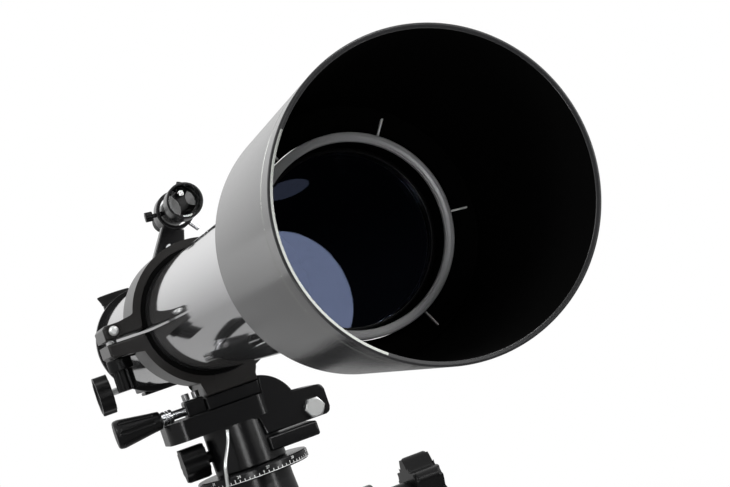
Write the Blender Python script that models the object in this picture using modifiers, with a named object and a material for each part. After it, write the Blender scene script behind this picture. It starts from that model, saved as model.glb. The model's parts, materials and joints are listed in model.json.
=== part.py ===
"""Achromatic refractor in a single felt-lined cradle, on a turning head and a tilting pillar.

Metres, +Z up. The origin is the centre of the base's bottom face. The optical axis runs along Y, with the
objective at -Y and the eyepiece at +Y, and crosses the pillar axis at TUBE_HEIGHT.
"""
import math

import bmesh
import bpy
from mathutils import Matrix, Vector

MM = 0.001
CLEAR = 0.3 * MM

# Optical tube
TUBE_HEIGHT = 235 * MM
TUBE_R = 41 * MM
TUBE_WALL = 1.2 * MM
FRONT_REACH = 578 * MM
TAIL_REACH = 292 * MM

# Dew shield
DEW_LENGTH = 135 * MM
DEW_FRONT_R = 62 * MM
DEW_BACK_R = 59.3 * MM
DEW_WALL = 2.1 * MM
DEW_BACK_WALL = 2.5 * MM
DEW_LIP_LENGTH = 14 * MM
DEW_LIP_STEP = 0.5 * MM
DEW_EDGE = 0.7 * MM
RIB_COUNT = 6
RIB_LENGTH = 8 * MM
RIB_WIDTH = 1.2 * MM
RIB_HEIGHT = 2 * MM

# Objective
CELL_R = 45 * MM
CELL_STANDOFF = 5 * MM
CELL_COLLAR = 5 * MM
CELL_WALL = 2 * MM
CELL_SLEEVE = 14 * MM
LENS_RING_THICKNESS = 2.7 * MM
LENS_RING_EDGE = 0.6 * MM
GLASS_R = 40.6 * MM
GLASS_DEPTH = 16 * MM
RETAINER_LENGTH = 3.5 * MM
RETAINER_WIDTH = 1.9 * MM
CROWN_EDGE = 4.5 * MM
FLINT_EDGE = 5 * MM
SPACER_LENGTH = 0.8 * MM
SPACER_WIDTH = 2 * MM
CROWN_CURVE = 540 * MM
INNER_CURVE = 400 * MM
FLINT_CURVE = 1500 * MM
SEAT_LIP = 3 * MM
SEAT_THICKNESS = 3 * MM

# Baffles: distance in front of the pillar axis and clear radius
BAFFLES = {"baffle_front": (200 * MM, 34 * MM), "baffle_rear": (-90 * MM, 26 * MM)}
BAFFLE_THICKNESS = 1 * MM
BAFFLE_FLANGE = 8 * MM

# Cradle
CRADLE_LENGTH = 59 * MM
FELT_THICKNESS = 2.4 * MM
FELT_OVERHANG = 1 * MM
CRADLE_WALL = 5.4 * MM
CRADLE_SPLIT = 3 * MM
FLANGE_REACH = 20.6 * MM
FLANGE_THICKNESS = 9.6 * MM
FOOT_HEIGHT = 5.6 * MM
FOOT_WIDTH = 36 * MM
KNUCKLE_R = 4.5 * MM
KNUCKLE_LENGTH = 19 * MM
KNUCKLE_STANDOFF = 5 * MM
PIN_R = 2.2 * MM
PIN_OVERHANG = 1.5 * MM
PIN_EDGE = 0.4 * MM
CLAMP_BOLT_R = 3 * MM
CLAMP_INSET = 7 * MM
CLAMP_BOLT_STOP = 3 * MM
CLAMP_PIN_R = 2 * MM
CLAMP_HEAD_R = 3.4 * MM
CLAMP_HEAD_TOP_R = 2.2 * MM
CLAMP_HEAD_HEIGHT = 2.4 * MM
CLAMP_COLLAR_R = 8.5 * MM
CLAMP_COLLAR_HEIGHT = 8.5 * MM
CLAMP_COLLAR_EDGE = 0.8 * MM
CLAMP_KNOB_R = 7 * MM
CLAMP_KNOB_HEIGHT = 14 * MM
CLAMP_KNOB_RIBS = 12
CLAMP_RIB_DEPTH = 0.8 * MM

# Saddle and head
SADDLE_WIDTH = 38 * MM
SADDLE_DEPTH = 46 * MM
SADDLE_HEIGHT = 9.4 * MM
SADDLE_EDGE = 1 * MM
HEAD_LEFT = 50 * MM
HEAD_RIGHT = 20 * MM
HEAD_DEPTH = 52 * MM
HEAD_BODY_HEIGHT = 14 * MM
HEAD_CORNER = 13 * MM
HEAD_EDGE = 1.2 * MM
HEAD_CYLINDER_R = 25 * MM
HEAD_CYLINDER_HEIGHT = 31 * MM
ARCH_X = 13 * MM
ARCH_R = 27 * MM
ARCH_DEPTH = 34 * MM
LUG_REACH = 60 * MM
LUG_DROP = 14 * MM
LUG_RISE = 7 * MM
LOWER_LUG_REACH = 48 * MM
LOWER_LUG_HEIGHT = 10 * MM
LUG_SLIT = 1.6 * MM
LUG_INSET = 2 * MM
HEX_BOLT_X = 49 * MM
HEX_BOLT_R = 4 * MM
HEX_HEAD_R = 7.2 * MM
HEX_HEAD_HEIGHT = 5.3 * MM
HEX_BOLT_STOP = 4 * MM
SPINDLE_R = 12 * MM
SPINDLE_CAP = 4 * MM

# Axis lock and index
LOCK_DROP = 16 * MM
LOCK_KNOB_R = 12.5 * MM
LOCK_KNOB_LENGTH = 17 * MM
LOCK_KNOB_GAP = 3 * MM
LOCK_KNOB_EDGE = 2 * MM
LOCK_KNOB_LOBES = 5
LOCK_LOBE_R = 2.5 * MM
LOCK_STUD_R = 4 * MM
LOCK_STUD_LENGTH = 9 * MM
POINTER_R = 1.2 * MM
POINTER_TOP_X = 12 * MM
POINTER_END_X = 25 * MM
POINTER_BEND = 0.7
POINTER_STEPS = 10

# Slow-motion drive
SLOW_RISE = 5 * MM
SLOW_Y = -12 * MM
SLOW_SHAFT_R = 3 * MM
SLOW_BORE_DEPTH = 12 * MM
SLOW_SHAFT_REACH = 23 * MM
SLOW_SHAFT_EDGE = 0.4 * MM
BEARING_LENGTH = 14 * MM
BEARING_WIDTH = 15 * MM
BEARING_HEIGHT = 11 * MM
BEARING_EDGE = 0.8 * MM
BEARING_SCREW_R = 2.6 * MM
BEARING_SCREW_HEAD = 4.5 * MM
BEARING_SCREW_SHANK_R = 1.4 * MM
BEARING_SCREW_SHANK = 2 * MM
FERRULE_R = 4.8 * MM
FERRULE_LENGTH = 8 * MM
FERRULE_EDGE = 0.6 * MM
HANDLE_LENGTH = 32 * MM
HANDLE_SMALL_R = 6 * MM
HANDLE_BIG_R = 10 * MM
HANDLE_FLUTES = 8
HANDLE_ROUNDING = 2 * MM
HANDLE_FLUTE_R = 1.6 * MM
HANDLE_FLUTE_START = 4 * MM
HANDLE_FLUTE_STOP = 9 * MM
HANDLE_FLUTE_EDGE = 1 * MM
HANDLE_FLUTE_DEPTH = 1 * MM

# Pillar and base
CIRCLE_R = 39 * MM
CIRCLE_HEIGHT = 6.7 * MM
CIRCLE_EDGE = 0.8 * MM
COLUMN_TOP_R = 25 * MM
COLUMN_FOOT_R = 27 * MM
BARREL_R = 20 * MM
BARREL_LENGTH = 120 * MM
BARREL_EDGE = 2 * MM
PIVOT_HEIGHT = 66 * MM
TILT_BOLT_R = 6 * MM
TILT_HEAD_R = 11 * MM
TILT_HEAD_HEIGHT = 7 * MM
TILT_BOLT_EDGE = 0.6 * MM
YOKE_ARM = 14 * MM
YOKE_DEPTH = 36 * MM
YOKE_FLOOR = 12 * MM
YOKE_CORNER = 22 * MM
BASE_R = 50 * MM
BASE_HEIGHT = 10 * MM
BASE_HOLE_PCD = 80 * MM
BASE_HOLE_R = 3.3 * MM
BASE_HOLE_ANGLES = (60, 120, 240, 300)
TILT_HUB_R = 11 * MM
TILT_HUB_LENGTH = 25.5 * MM
TILT_KNOB_R = 27 * MM
TILT_KNOB_LENGTH = 20 * MM
TILT_KNOB_EDGE = 3 * MM
TILT_LOBES = 6
TILT_LOBE_R = 7 * MM
TILT_THREAD = 30 * MM

# Focuser
FOCUSER_FLANGE_R = 45 * MM
FOCUSER_FLANGE = 8 * MM
FOCUSER_SPIGOT = 10 * MM
FOCUSER_TAPER = 34 * MM
FOCUSER_BARREL = 38 * MM
FOCUSER_BARREL_WALL = 4.5 * MM
FOCUSER_EDGE = 1 * MM
DRAWTUBE_R = 25 * MM
DRAWTUBE_WALL = 1.5 * MM
DRAWTUBE_FRONT = 37 * MM
DRAWTUBE_TAIL = 108 * MM
RACK_WIDTH = 7.4 * MM
RACK_LENGTH = 84 * MM
RACK_BODY = 2.2 * MM
TOOTH_PITCH = 3.14 * MM
TOOTH_HEIGHT = 1.9 * MM
TOOTH_THINNING = 0.3 * MM
PINION_TEETH = 10
PINION_Y = 28 * MM
PINION_SHAFT_R = 3 * MM
PINION_BOX_WIDTH = 34 * MM
PINION_BOX_LENGTH = 28 * MM
PINION_FLOOR = 3 * MM
PINION_COVER_THICKNESS = 2.6 * MM
PINION_COVER_EDGE = 0.8 * MM
PINION_BOX_ROOT = 3.7 * MM
PINION_BOX_SETBACK = 1 * MM
FOCUS_KNOB_R = 17.5 * MM
FOCUS_KNOB_WIDTH = 12 * MM
FOCUS_KNOB_RIBS = 20
FOCUS_KNOB_RIB_R = 1.3 * MM
FOCUS_SHAFT_REACH = 43 * MM
LOCK_SCREW_R = 2.5 * MM
LOCK_SCREW_KNOB_R = 6 * MM
LOCK_SCREW_KNOB_HEIGHT = 8 * MM
LOCK_SCREW_Y = 62 * MM
LOCK_SCREW_GAP = 3 * MM

# Adapter, diagonal and eyepiece (31.7 mm push fit)
ADAPTER_R = 27 * MM
ADAPTER_LENGTH = 18 * MM
ADAPTER_SPIGOT = 8 * MM
PUSH_FIT_R = 15.85 * MM
SET_SCREW_R = 1.8 * MM
SET_SCREW_KNOB_R = 4.2 * MM
SET_SCREW_KNOB_LENGTH = 7 * MM
NOSE_LENGTH = 20 * MM
NOSE_WALL = 2.5 * MM
DIAGONAL_SIZE = 38 * MM
DIAGONAL_CUT = 14 * MM
DIAGONAL_TUBE_R = 18.5 * MM
DIAGONAL_TUBE_TOP = 29 * MM
PRISM_LEG = 24 * MM
PRISM_WIDTH = 24 * MM
EYEPIECE_INSERT = 12 * MM
EYEPIECE_BARREL_WALL = 1.5 * MM
EYEPIECE_LIP = 1.2 * MM
EYEPIECE_LIP_REACH = 1 * MM
EYEPIECE_WAIST_R = 12.5 * MM
EYEPIECE_SHOULDER = 3 * MM
EYEPIECE_STEP = 1 * MM
EYEPIECE_HEIGHT = 25 * MM
EYECUP_HEIGHT = 9 * MM
EYECUP_R = 15.5 * MM
EYECUP_RIM = 1 * MM
EYECUP_RIM_WIDTH = 2 * MM
EYECUP_ROOT = 0.5 * MM
EYE_LENS_R = 8 * MM
EYE_LENS_EDGE = 2.5 * MM
EYE_LENS_CURVE = 22 * MM
EYE_LENS_LIP = 1.5 * MM

# Finder, in a frame turned from straight up towards +X
FINDER_TURN = math.radians(25)
FINDER_OFFSET = 100 * MM
FINDER_FRONT_Y = 150 * MM
FINDER_CELL_R = 14.5 * MM
FINDER_CELL_LENGTH = 24 * MM
FINDER_CELL_TAPER = 3 * MM
FINDER_CELL_EDGE = 0.8 * MM
FINDER_BARREL_R = 11 * MM
FINDER_BARREL_LENGTH = 86 * MM
FINDER_WALL = 1.5 * MM
FINDER_GLASS_R = 12.4 * MM
FINDER_GLASS_EDGE = 2.5 * MM
FINDER_GLASS_CURVE = 60 * MM
FINDER_GLASS_DEPTH = 8 * MM
FINDER_EYE_R = 10 * MM
FINDER_EYE_LENGTH = 22 * MM
FINDER_EYE_BORE = 5 * MM
FINDER_EYE_EDGE = 1 * MM
RING_Y = 215 * MM
RING_LENGTH = 18 * MM
RING_BORE_GAP = 1.8 * MM
RING_WALL = 3 * MM
STALK_TOP_WIDTH = 18 * MM
STALK_FOOT_WIDTH = 30 * MM
STALK_DEPTH = 16 * MM
STALK_SINK = 2 * MM
FINDER_FOOT_WIDTH = 34 * MM
FINDER_FOOT_LENGTH = 44 * MM
FINDER_FOOT_HEIGHT = 5 * MM
NUT_R = 4.8 * MM
NUT_HEIGHT = 5 * MM
NUT_SKIRT = 1.5 * MM
NUT_OFFSET = 68 * MM
FINDER_SCREW_ANGLES = {"finder_screw_side": math.radians(200), "finder_screw_top": math.radians(82)}
FINDER_PIN_ANGLE = math.radians(332)
FINDER_SCREW_R = 1.8 * MM
FINDER_SCREW_KNOB_R = 4 * MM
FINDER_SCREW_KNOB_LENGTH = 6 * MM
FINDER_SCREW_REACH = 2.5 * MM
FINDER_PIN_R = 2.2 * MM
FINDER_PIN_REACH = 9 * MM
FINDER_PIN_EDGE = 0.6 * MM

# Facets round a full turn
LARGE_STEPS = 36
MEDIUM_STEPS = 20
SMALL_STEPS = 12
TINY_STEPS = 10
HOLE_STEPS = 11

# Degrees in half a turn
HALF_TURN = 180

# Steps along an arc or a wave, and the distance within which points are joined
CORNER_STEPS = 5
HALF_RING_STEPS = 16
ARCH_STEPS = 9
DOME_STEPS = 3
LOBE_POINTS = 6
RIB_POINTS = 2
WELD = 0.001 * MM

# Colour, roughness and metallic value of each finish
FINISHES = {
    "white_enamel": ((0.80, 0.80, 0.79), 0.2, 0.0),
    "dark_plastic": ((0.06, 0.06, 0.06), 0.35, 0.0),
    "black_enamel": ((0.02, 0.02, 0.021), 0.35, 0.0),
    "black_plastic": ((0.015, 0.015, 0.016), 0.5, 0.0),
    "black_felt": ((0.008, 0.008, 0.008), 0.95, 0.0),
    "matt_black": ((0.006, 0.006, 0.006), 0.8, 0.0),
    "satin_aluminium": ((0.55, 0.55, 0.56), 0.35, 1.0),
    "zinc_steel": ((0.62, 0.62, 0.60), 0.35, 1.0),
    "chrome": ((0.75, 0.75, 0.76), 0.1, 1.0),
    "coated_glass": ((0.25, 0.30, 0.42), 0.05, 0.0),
}


def new_collection(name):
    """Adds a collection to the scene."""
    collection = bpy.data.collections.new(name)
    bpy.context.scene.collection.children.link(collection)
    return collection


def new_materials():
    """Makes one Principled material for each finish."""
    materials = {}
    for name, (colour, roughness, metallic) in FINISHES.items():
        material = bpy.data.materials.new(name)
        material.use_nodes = True
        shader = material.node_tree.nodes["Principled BSDF"]
        shader.inputs["Base Color"].default_value = (*colour, 1.0)
        shader.inputs["Roughness"].default_value = roughness
        shader.inputs["Metallic"].default_value = metallic
        material.diffuse_color = (*colour, 1.0)
        materials[name] = material
    return materials


for leftover in list(bpy.data.objects):
    bpy.data.objects.remove(leftover)
PARTS = new_collection("refractor_telescope")
TOOLS = new_collection("cutters_and_joined_shapes")
MATERIALS = new_materials()

ALONG_X = (0, math.pi / 2, 0)
ALONG_Y = (-math.pi / 2, 0, 0)
ALONG_Z = (0, 0, 0)


def empty(name, at, turn=ALONG_Z, parent=None):
    """Makes an empty that carries a group of pieces."""
    carrier = bpy.data.objects.new(name, None)
    PARTS.objects.link(carrier)
    carrier.parent = parent
    carrier.location = at
    carrier.rotation_euler = turn
    return carrier


def add(name, mesh, finish, at=(0, 0, 0), turn=ALONG_Z, parent=None):
    """Adds a mesh as a piece, or as a shape for a Boolean where it has no finish."""
    piece = bpy.data.objects.new(name, mesh)
    piece.location = at
    piece.rotation_euler = turn
    piece.parent = parent
    if finish is None:
        TOOLS.objects.link(piece)
        piece.hide_render = True
        piece.display_type = "WIRE"
    else:
        PARTS.objects.link(piece)
        mesh.materials.append(MATERIALS[finish])
    return piece


def turned(name, profile, finish, sides=MEDIUM_STEPS, **place):
    """Turns a profile of (radius, height) points, running down its outer side, about local Z."""
    mesh = bpy.data.meshes.new(name)
    shape = bmesh.new()
    points = [shape.verts.new((radius, 0, height)) for radius, height in profile]
    for first, second in zip(points, points[1:]):
        shape.edges.new((first, second))
    if profile[0][0] > 0:
        shape.edges.new((points[-1], points[0]))
    shape.to_mesh(mesh)
    shape.free()
    piece = add(name, mesh, finish, **place)
    screw = piece.modifiers.new("turn", "SCREW")
    screw.steps = sides
    screw.render_steps = sides
    screw.use_merge_vertices = True
    screw.merge_threshold = WELD
    screw.use_smooth_shade = True
    return piece


def ring(name, inner, outer, low, high, finish, sides=MEDIUM_STEPS, edge=0.0, **place):
    """Turns a plain ring, with its outer edges broken by edge."""
    profile = [(outer, high), (outer, low)]
    if edge > 0:
        profile = [(outer - edge, high), (outer, high - edge), (outer, low + edge), (outer - edge, low)]
    return turned(name, profile + [(inner, low), (inner, high)], finish, sides, **place)


def rod(name, radius, low, high, finish, sides=SMALL_STEPS, edge=0.0, **place):
    """Turns a plain rod, with its edges broken by edge."""
    profile = [(radius, high), (radius, low)]
    if edge > 0:
        profile = [(radius - edge, high), (radius, high - edge), (radius, low + edge), (radius - edge, low)]
    return turned(name, [(0, high)] + profile + [(0, low)], finish, sides, **place)


def block(name, low, high, finish, edge=0.0, **place):
    """Makes a box between two corners, with its edges rounded by edge."""
    size = Vector(high) - Vector(low)
    middle = (Vector(high) + Vector(low)) / 2
    mesh = bpy.data.meshes.new(name)
    shape = bmesh.new()
    bmesh.ops.create_cube(shape, size=1, matrix=Matrix.Translation(middle) @ Matrix.Diagonal((*size, 1)))
    shape.to_mesh(mesh)
    shape.free()
    piece = add(name, mesh, finish, **place)
    if edge > 0:
        bevel = piece.modifiers.new("edges", "BEVEL")
        bevel.width = edge
    return piece


def plate(name, outline, low, high, finish, **place):
    """Extrudes a flat outline along local Z, from low to high."""
    curve = bpy.data.curves.new(name, "CURVE")
    curve.dimensions = "2D"
    curve.fill_mode = "BOTH"
    curve.extrude = (high - low) / 2
    spline = curve.splines.new("POLY")
    spline.points.add(len(outline) - 1)
    for point, (x, y) in zip(spline.points, outline):
        point.co = (x, y, 0, 1)
    spline.use_cyclic_u = True
    return solid_from_curve(name, curve, Vector((0, 0, (low + high) / 2)), finish, **place)


def wire(name, points, radius, finish, **place):
    """Makes a round wire through points, with closed ends."""
    curve = bpy.data.curves.new(name, "CURVE")
    curve.dimensions = "3D"
    curve.bevel_depth = radius
    curve.bevel_resolution = 2
    curve.use_fill_caps = True
    spline = curve.splines.new("POLY")
    spline.points.add(len(points) - 1)
    for point, position in zip(spline.points, points):
        point.co = (*position, 1)
    return solid_from_curve(name, curve, Vector(), finish, **place)


def solid_from_curve(name, curve, shift, finish, **place):
    """Turns a curve into a closed mesh piece."""
    guide = bpy.data.objects.new(name + "_curve", curve)
    TOOLS.objects.link(guide)
    mesh = bpy.data.meshes.new_from_object(guide.evaluated_get(bpy.context.evaluated_depsgraph_get()))
    bpy.data.objects.remove(guide)
    shape = bmesh.new()
    shape.from_mesh(mesh)
    bmesh.ops.translate(shape, verts=shape.verts, vec=shift)
    bmesh.ops.remove_doubles(shape, verts=shape.verts, dist=WELD)
    bmesh.ops.recalc_face_normals(shape, faces=shape.faces)
    shape.to_mesh(mesh)
    shape.free()
    mesh.materials.clear()
    mesh.name = name
    return add(name, mesh, finish, **place)


def boolean(piece, shape, operation, solver):
    """Adds a Boolean of a helper shape to a piece."""
    modifier = piece.modifiers.new(operation.lower(), "BOOLEAN")
    modifier.operation = operation
    modifier.solver = solver
    modifier.object = shape


def cut(piece, *shapes, solver="EXACT"):
    """Cuts helper shapes out of a piece."""
    for shape in shapes:
        boolean(piece, shape, "DIFFERENCE", solver)


def fuse(piece, *shapes, solver="EXACT"):
    """Joins helper shapes to a piece."""
    for shape in shapes:
        boolean(piece, shape, "UNION", solver)


def arc(x, y, radius, start, end, count):
    """Points along an arc, angles in degrees."""
    points = []
    for step in range(count + 1):
        angle = math.radians(start + (end - start) * step / count)
        points.append((x + radius * math.cos(angle), y + radius * math.sin(angle)))
    return points


def rounded(width_low, width_high, depth, corner_low, corner_high, count=CORNER_STEPS):
    """Outline of a rectangle about the X axis, with one corner radius at each end."""
    half = depth / 2
    points = arc(width_low + corner_low, half - corner_low, corner_low, 90, 180, count)
    points += arc(width_low + corner_low, corner_low - half, corner_low, 180, 270, count)
    points += arc(width_high - corner_high, corner_high - half, corner_high, 270, 360, count)
    points += arc(width_high - corner_high, half - corner_high, corner_high, 0, 90, count)
    return points


def hexagon(radius):
    """Outline of a hexagon with corners at radius."""
    return [(radius * math.cos(i * math.pi / 3), radius * math.sin(i * math.pi / 3)) for i in range(6)]


def lobed(radius, depth, count, points_each):
    """Outline of a hand knob whose rim waves in by depth."""
    points = []
    total = count * points_each
    for step in range(total):
        angle = 2 * math.pi * step / total
        wave = radius - depth * (1 - math.cos(count * angle)) / 2
        points.append((wave * math.cos(angle), wave * math.sin(angle)))
    return points


def sag(radius, curve):
    """How far a sphere of radius curve falls away at a distance from its pole."""
    return curve - math.sqrt(curve * curve - radius * radius)


def lens_profile(radius, front, edge, front_curve, back_curve, rings=3):
    """Profile of a lens whose edge starts at front. A positive curve bulges out, 0 is flat."""
    radii = [radius * i / rings for i in range(rings + 1)]

    def bulge(at, curve):
        if curve == 0:
            return 0.0
        return math.copysign(sag(radius, abs(curve)) - sag(at, abs(curve)), curve)

    back = [(at, front + edge + bulge(at, back_curve)) for at in radii]
    face = [(at, front - bulge(at, front_curve)) for at in reversed(radii)]
    return back + face


# Places worked out from the sizes
DEW_FRONT_Y = -FRONT_REACH
DEW_BACK_Y = DEW_FRONT_Y + DEW_LENGTH
CELL_FRONT_Y = DEW_BACK_Y - CELL_STANDOFF
CELL_BORE_R = GLASS_R + CLEAR
CROWN_Y = CELL_FRONT_Y + GLASS_DEPTH
SPACER_Y = CROWN_Y + CROWN_EDGE + CLEAR
FLINT_Y = SPACER_Y + SPACER_LENGTH + CLEAR
SEAT_Y = FLINT_Y + FLINT_EDGE + CLEAR
TUBE_FRONT_Y = SEAT_Y + SEAT_THICKNESS + CLEAR
TUBE_BORE_R = TUBE_R - TUBE_WALL
FELT_INNER_R = TUBE_R + CLEAR
CRADLE_INNER_R = FELT_INNER_R + FELT_THICKNESS + CLEAR
CRADLE_R = CRADLE_INNER_R + CRADLE_WALL
FOOT_Z = TUBE_HEIGHT - CRADLE_R - FOOT_HEIGHT
SADDLE_Z = FOOT_Z - CLEAR - SADDLE_HEIGHT
HEAD_TOP_Z = SADDLE_Z - CLEAR
HEAD_BODY_Z = HEAD_TOP_Z - HEAD_BODY_HEIGHT
HEAD_FOOT_Z = HEAD_BODY_Z - HEAD_CYLINDER_HEIGHT
CIRCLE_Z = HEAD_FOOT_Z - CLEAR - CIRCLE_HEIGHT
COLUMN_TOP_Z = CIRCLE_Z - CLEAR
SPINDLE_TOP_Z = HEAD_TOP_Z - SPINDLE_CAP
YOKE_INNER = BARREL_LENGTH / 2 + CLEAR
YOKE_OUTER = YOKE_INNER + YOKE_ARM
YOKE_FLOOR_Z = BASE_HEIGHT + YOKE_FLOOR

OPTICAL_AXIS = empty("optical_axis", (0, 0, TUBE_HEIGHT))
PILLAR_AXIS = empty("pillar_axis", (0, 0, 0))
TILT_AXIS = empty("tilt_axis", (0, 0, PIVOT_HEIGHT))
ON_TUBE = {"turn": ALONG_Y, "parent": OPTICAL_AXIS}
ON_TILT = {"turn": ALONG_X, "parent": TILT_AXIS}


def make_base():
    """Round flange with a U-shaped yoke, its bolt and its hand knob."""
    base = rod("base_yoke", BASE_R, 0, BASE_HEIGHT, "black_enamel", LARGE_STEPS)
    floor = BASE_HEIGHT / 2
    inner_corner = YOKE_CORNER - YOKE_ARM
    pivot = PIVOT_HEIGHT
    outline = [(-YOKE_OUTER, pivot)]
    outline += arc(YOKE_CORNER - YOKE_OUTER, floor + YOKE_CORNER, YOKE_CORNER, 180, 270, CORNER_STEPS)
    outline += arc(YOKE_OUTER - YOKE_CORNER, floor + YOKE_CORNER, YOKE_CORNER, 270, 360, CORNER_STEPS)
    outline += [(YOKE_OUTER, pivot), (YOKE_INNER, pivot)]
    corner_z = YOKE_FLOOR_Z + inner_corner
    outline += arc(YOKE_INNER - inner_corner, corner_z, inner_corner, 360, 270, CORNER_STEPS)
    outline += arc(inner_corner - YOKE_INNER, corner_z, inner_corner, 270, 180, CORNER_STEPS)
    outline += [(-YOKE_INNER, pivot)]
    upright = {"turn": (math.pi / 2, 0, 0)}
    fuse(base, plate("yoke_arms", outline, -YOKE_DEPTH / 2, YOKE_DEPTH / 2, None, **upright))
    for side in (-1, 1):
        low, high = sorted((side * YOKE_INNER, side * YOKE_OUTER))
        fuse(base, rod(f"yoke_ear_{side}", YOKE_DEPTH / 2, low, high, None, MEDIUM_STEPS, **ON_TILT))
    bore = TILT_BOLT_R + CLEAR
    reach = YOKE_OUTER + YOKE_ARM
    cut(base, rod("yoke_bore", bore, -reach, reach, None, **ON_TILT))
    for angle in BASE_HOLE_ANGLES:
        x = BASE_HOLE_PCD / 2 * math.cos(math.radians(angle))
        y = BASE_HOLE_PCD / 2 * math.sin(math.radians(angle))
        cut(base, rod(f"base_hole_{angle}", BASE_HOLE_R, -BASE_HEIGHT, 2 * BASE_HEIGHT, None, TINY_STEPS,
                      at=(x, y, 0)))

    head = -YOKE_OUTER - CLEAR
    thread_end = YOKE_OUTER + CLEAR + TILT_THREAD
    bolt = rod("tilt_bolt", TILT_BOLT_R, head - TILT_HEAD_HEIGHT / 2, thread_end, "zinc_steel",
               edge=TILT_BOLT_EDGE, **ON_TILT)
    fuse(bolt, plate("tilt_bolt_hex", hexagon(TILT_HEAD_R), head - TILT_HEAD_HEIGHT, head, None, **ON_TILT))

    start = YOKE_OUTER + CLEAR
    rim = start + TILT_HUB_LENGTH
    rim_end = rim + TILT_KNOB_LENGTH
    knob = plate("tilt_knob", lobed(TILT_KNOB_R, TILT_LOBE_R, TILT_LOBES, LOBE_POINTS), rim, rim_end,
                 "black_plastic", **ON_TILT)
    bevel = knob.modifiers.new("edges", "BEVEL")
    bevel.width = TILT_KNOB_EDGE
    fuse(knob, rod("tilt_hub", TILT_HUB_R, start, rim + TILT_KNOB_LENGTH / 2, None, **ON_TILT))
    cut(knob, rod("tilt_thread", bore, start - TILT_BOLT_R, thread_end + CLEAR, None, **ON_TILT))


def make_pillar():
    """Column on a cross barrel, with a spindle for the head, and the setting circle."""
    column = turned("pillar_column", [
        (0, SPINDLE_TOP_Z),
        (SPINDLE_R, SPINDLE_TOP_Z),
        (SPINDLE_R, COLUMN_TOP_Z),
        (COLUMN_TOP_R, COLUMN_TOP_Z),
        (COLUMN_TOP_R, COLUMN_TOP_Z - CIRCLE_HEIGHT),
        (COLUMN_FOOT_R, PIVOT_HEIGHT + BARREL_R / 2),
        (COLUMN_FOOT_R, PIVOT_HEIGHT),
        (0, PIVOT_HEIGHT),
    ], "black_enamel", MEDIUM_STEPS, parent=PILLAR_AXIS)
    half = BARREL_LENGTH / 2
    fuse(column, rod("cross_barrel", BARREL_R, -half, half, None, MEDIUM_STEPS, BARREL_EDGE, **ON_TILT))
    cut(column, rod("pivot_bore", TILT_BOLT_R + CLEAR, -BARREL_LENGTH, BARREL_LENGTH, None, **ON_TILT))
    ring("setting_circle", SPINDLE_R + CLEAR, CIRCLE_R, CIRCLE_Z, CIRCLE_Z + CIRCLE_HEIGHT, "black_enamel",
         LARGE_STEPS, CIRCLE_EDGE, parent=PILLAR_AXIS)


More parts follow.
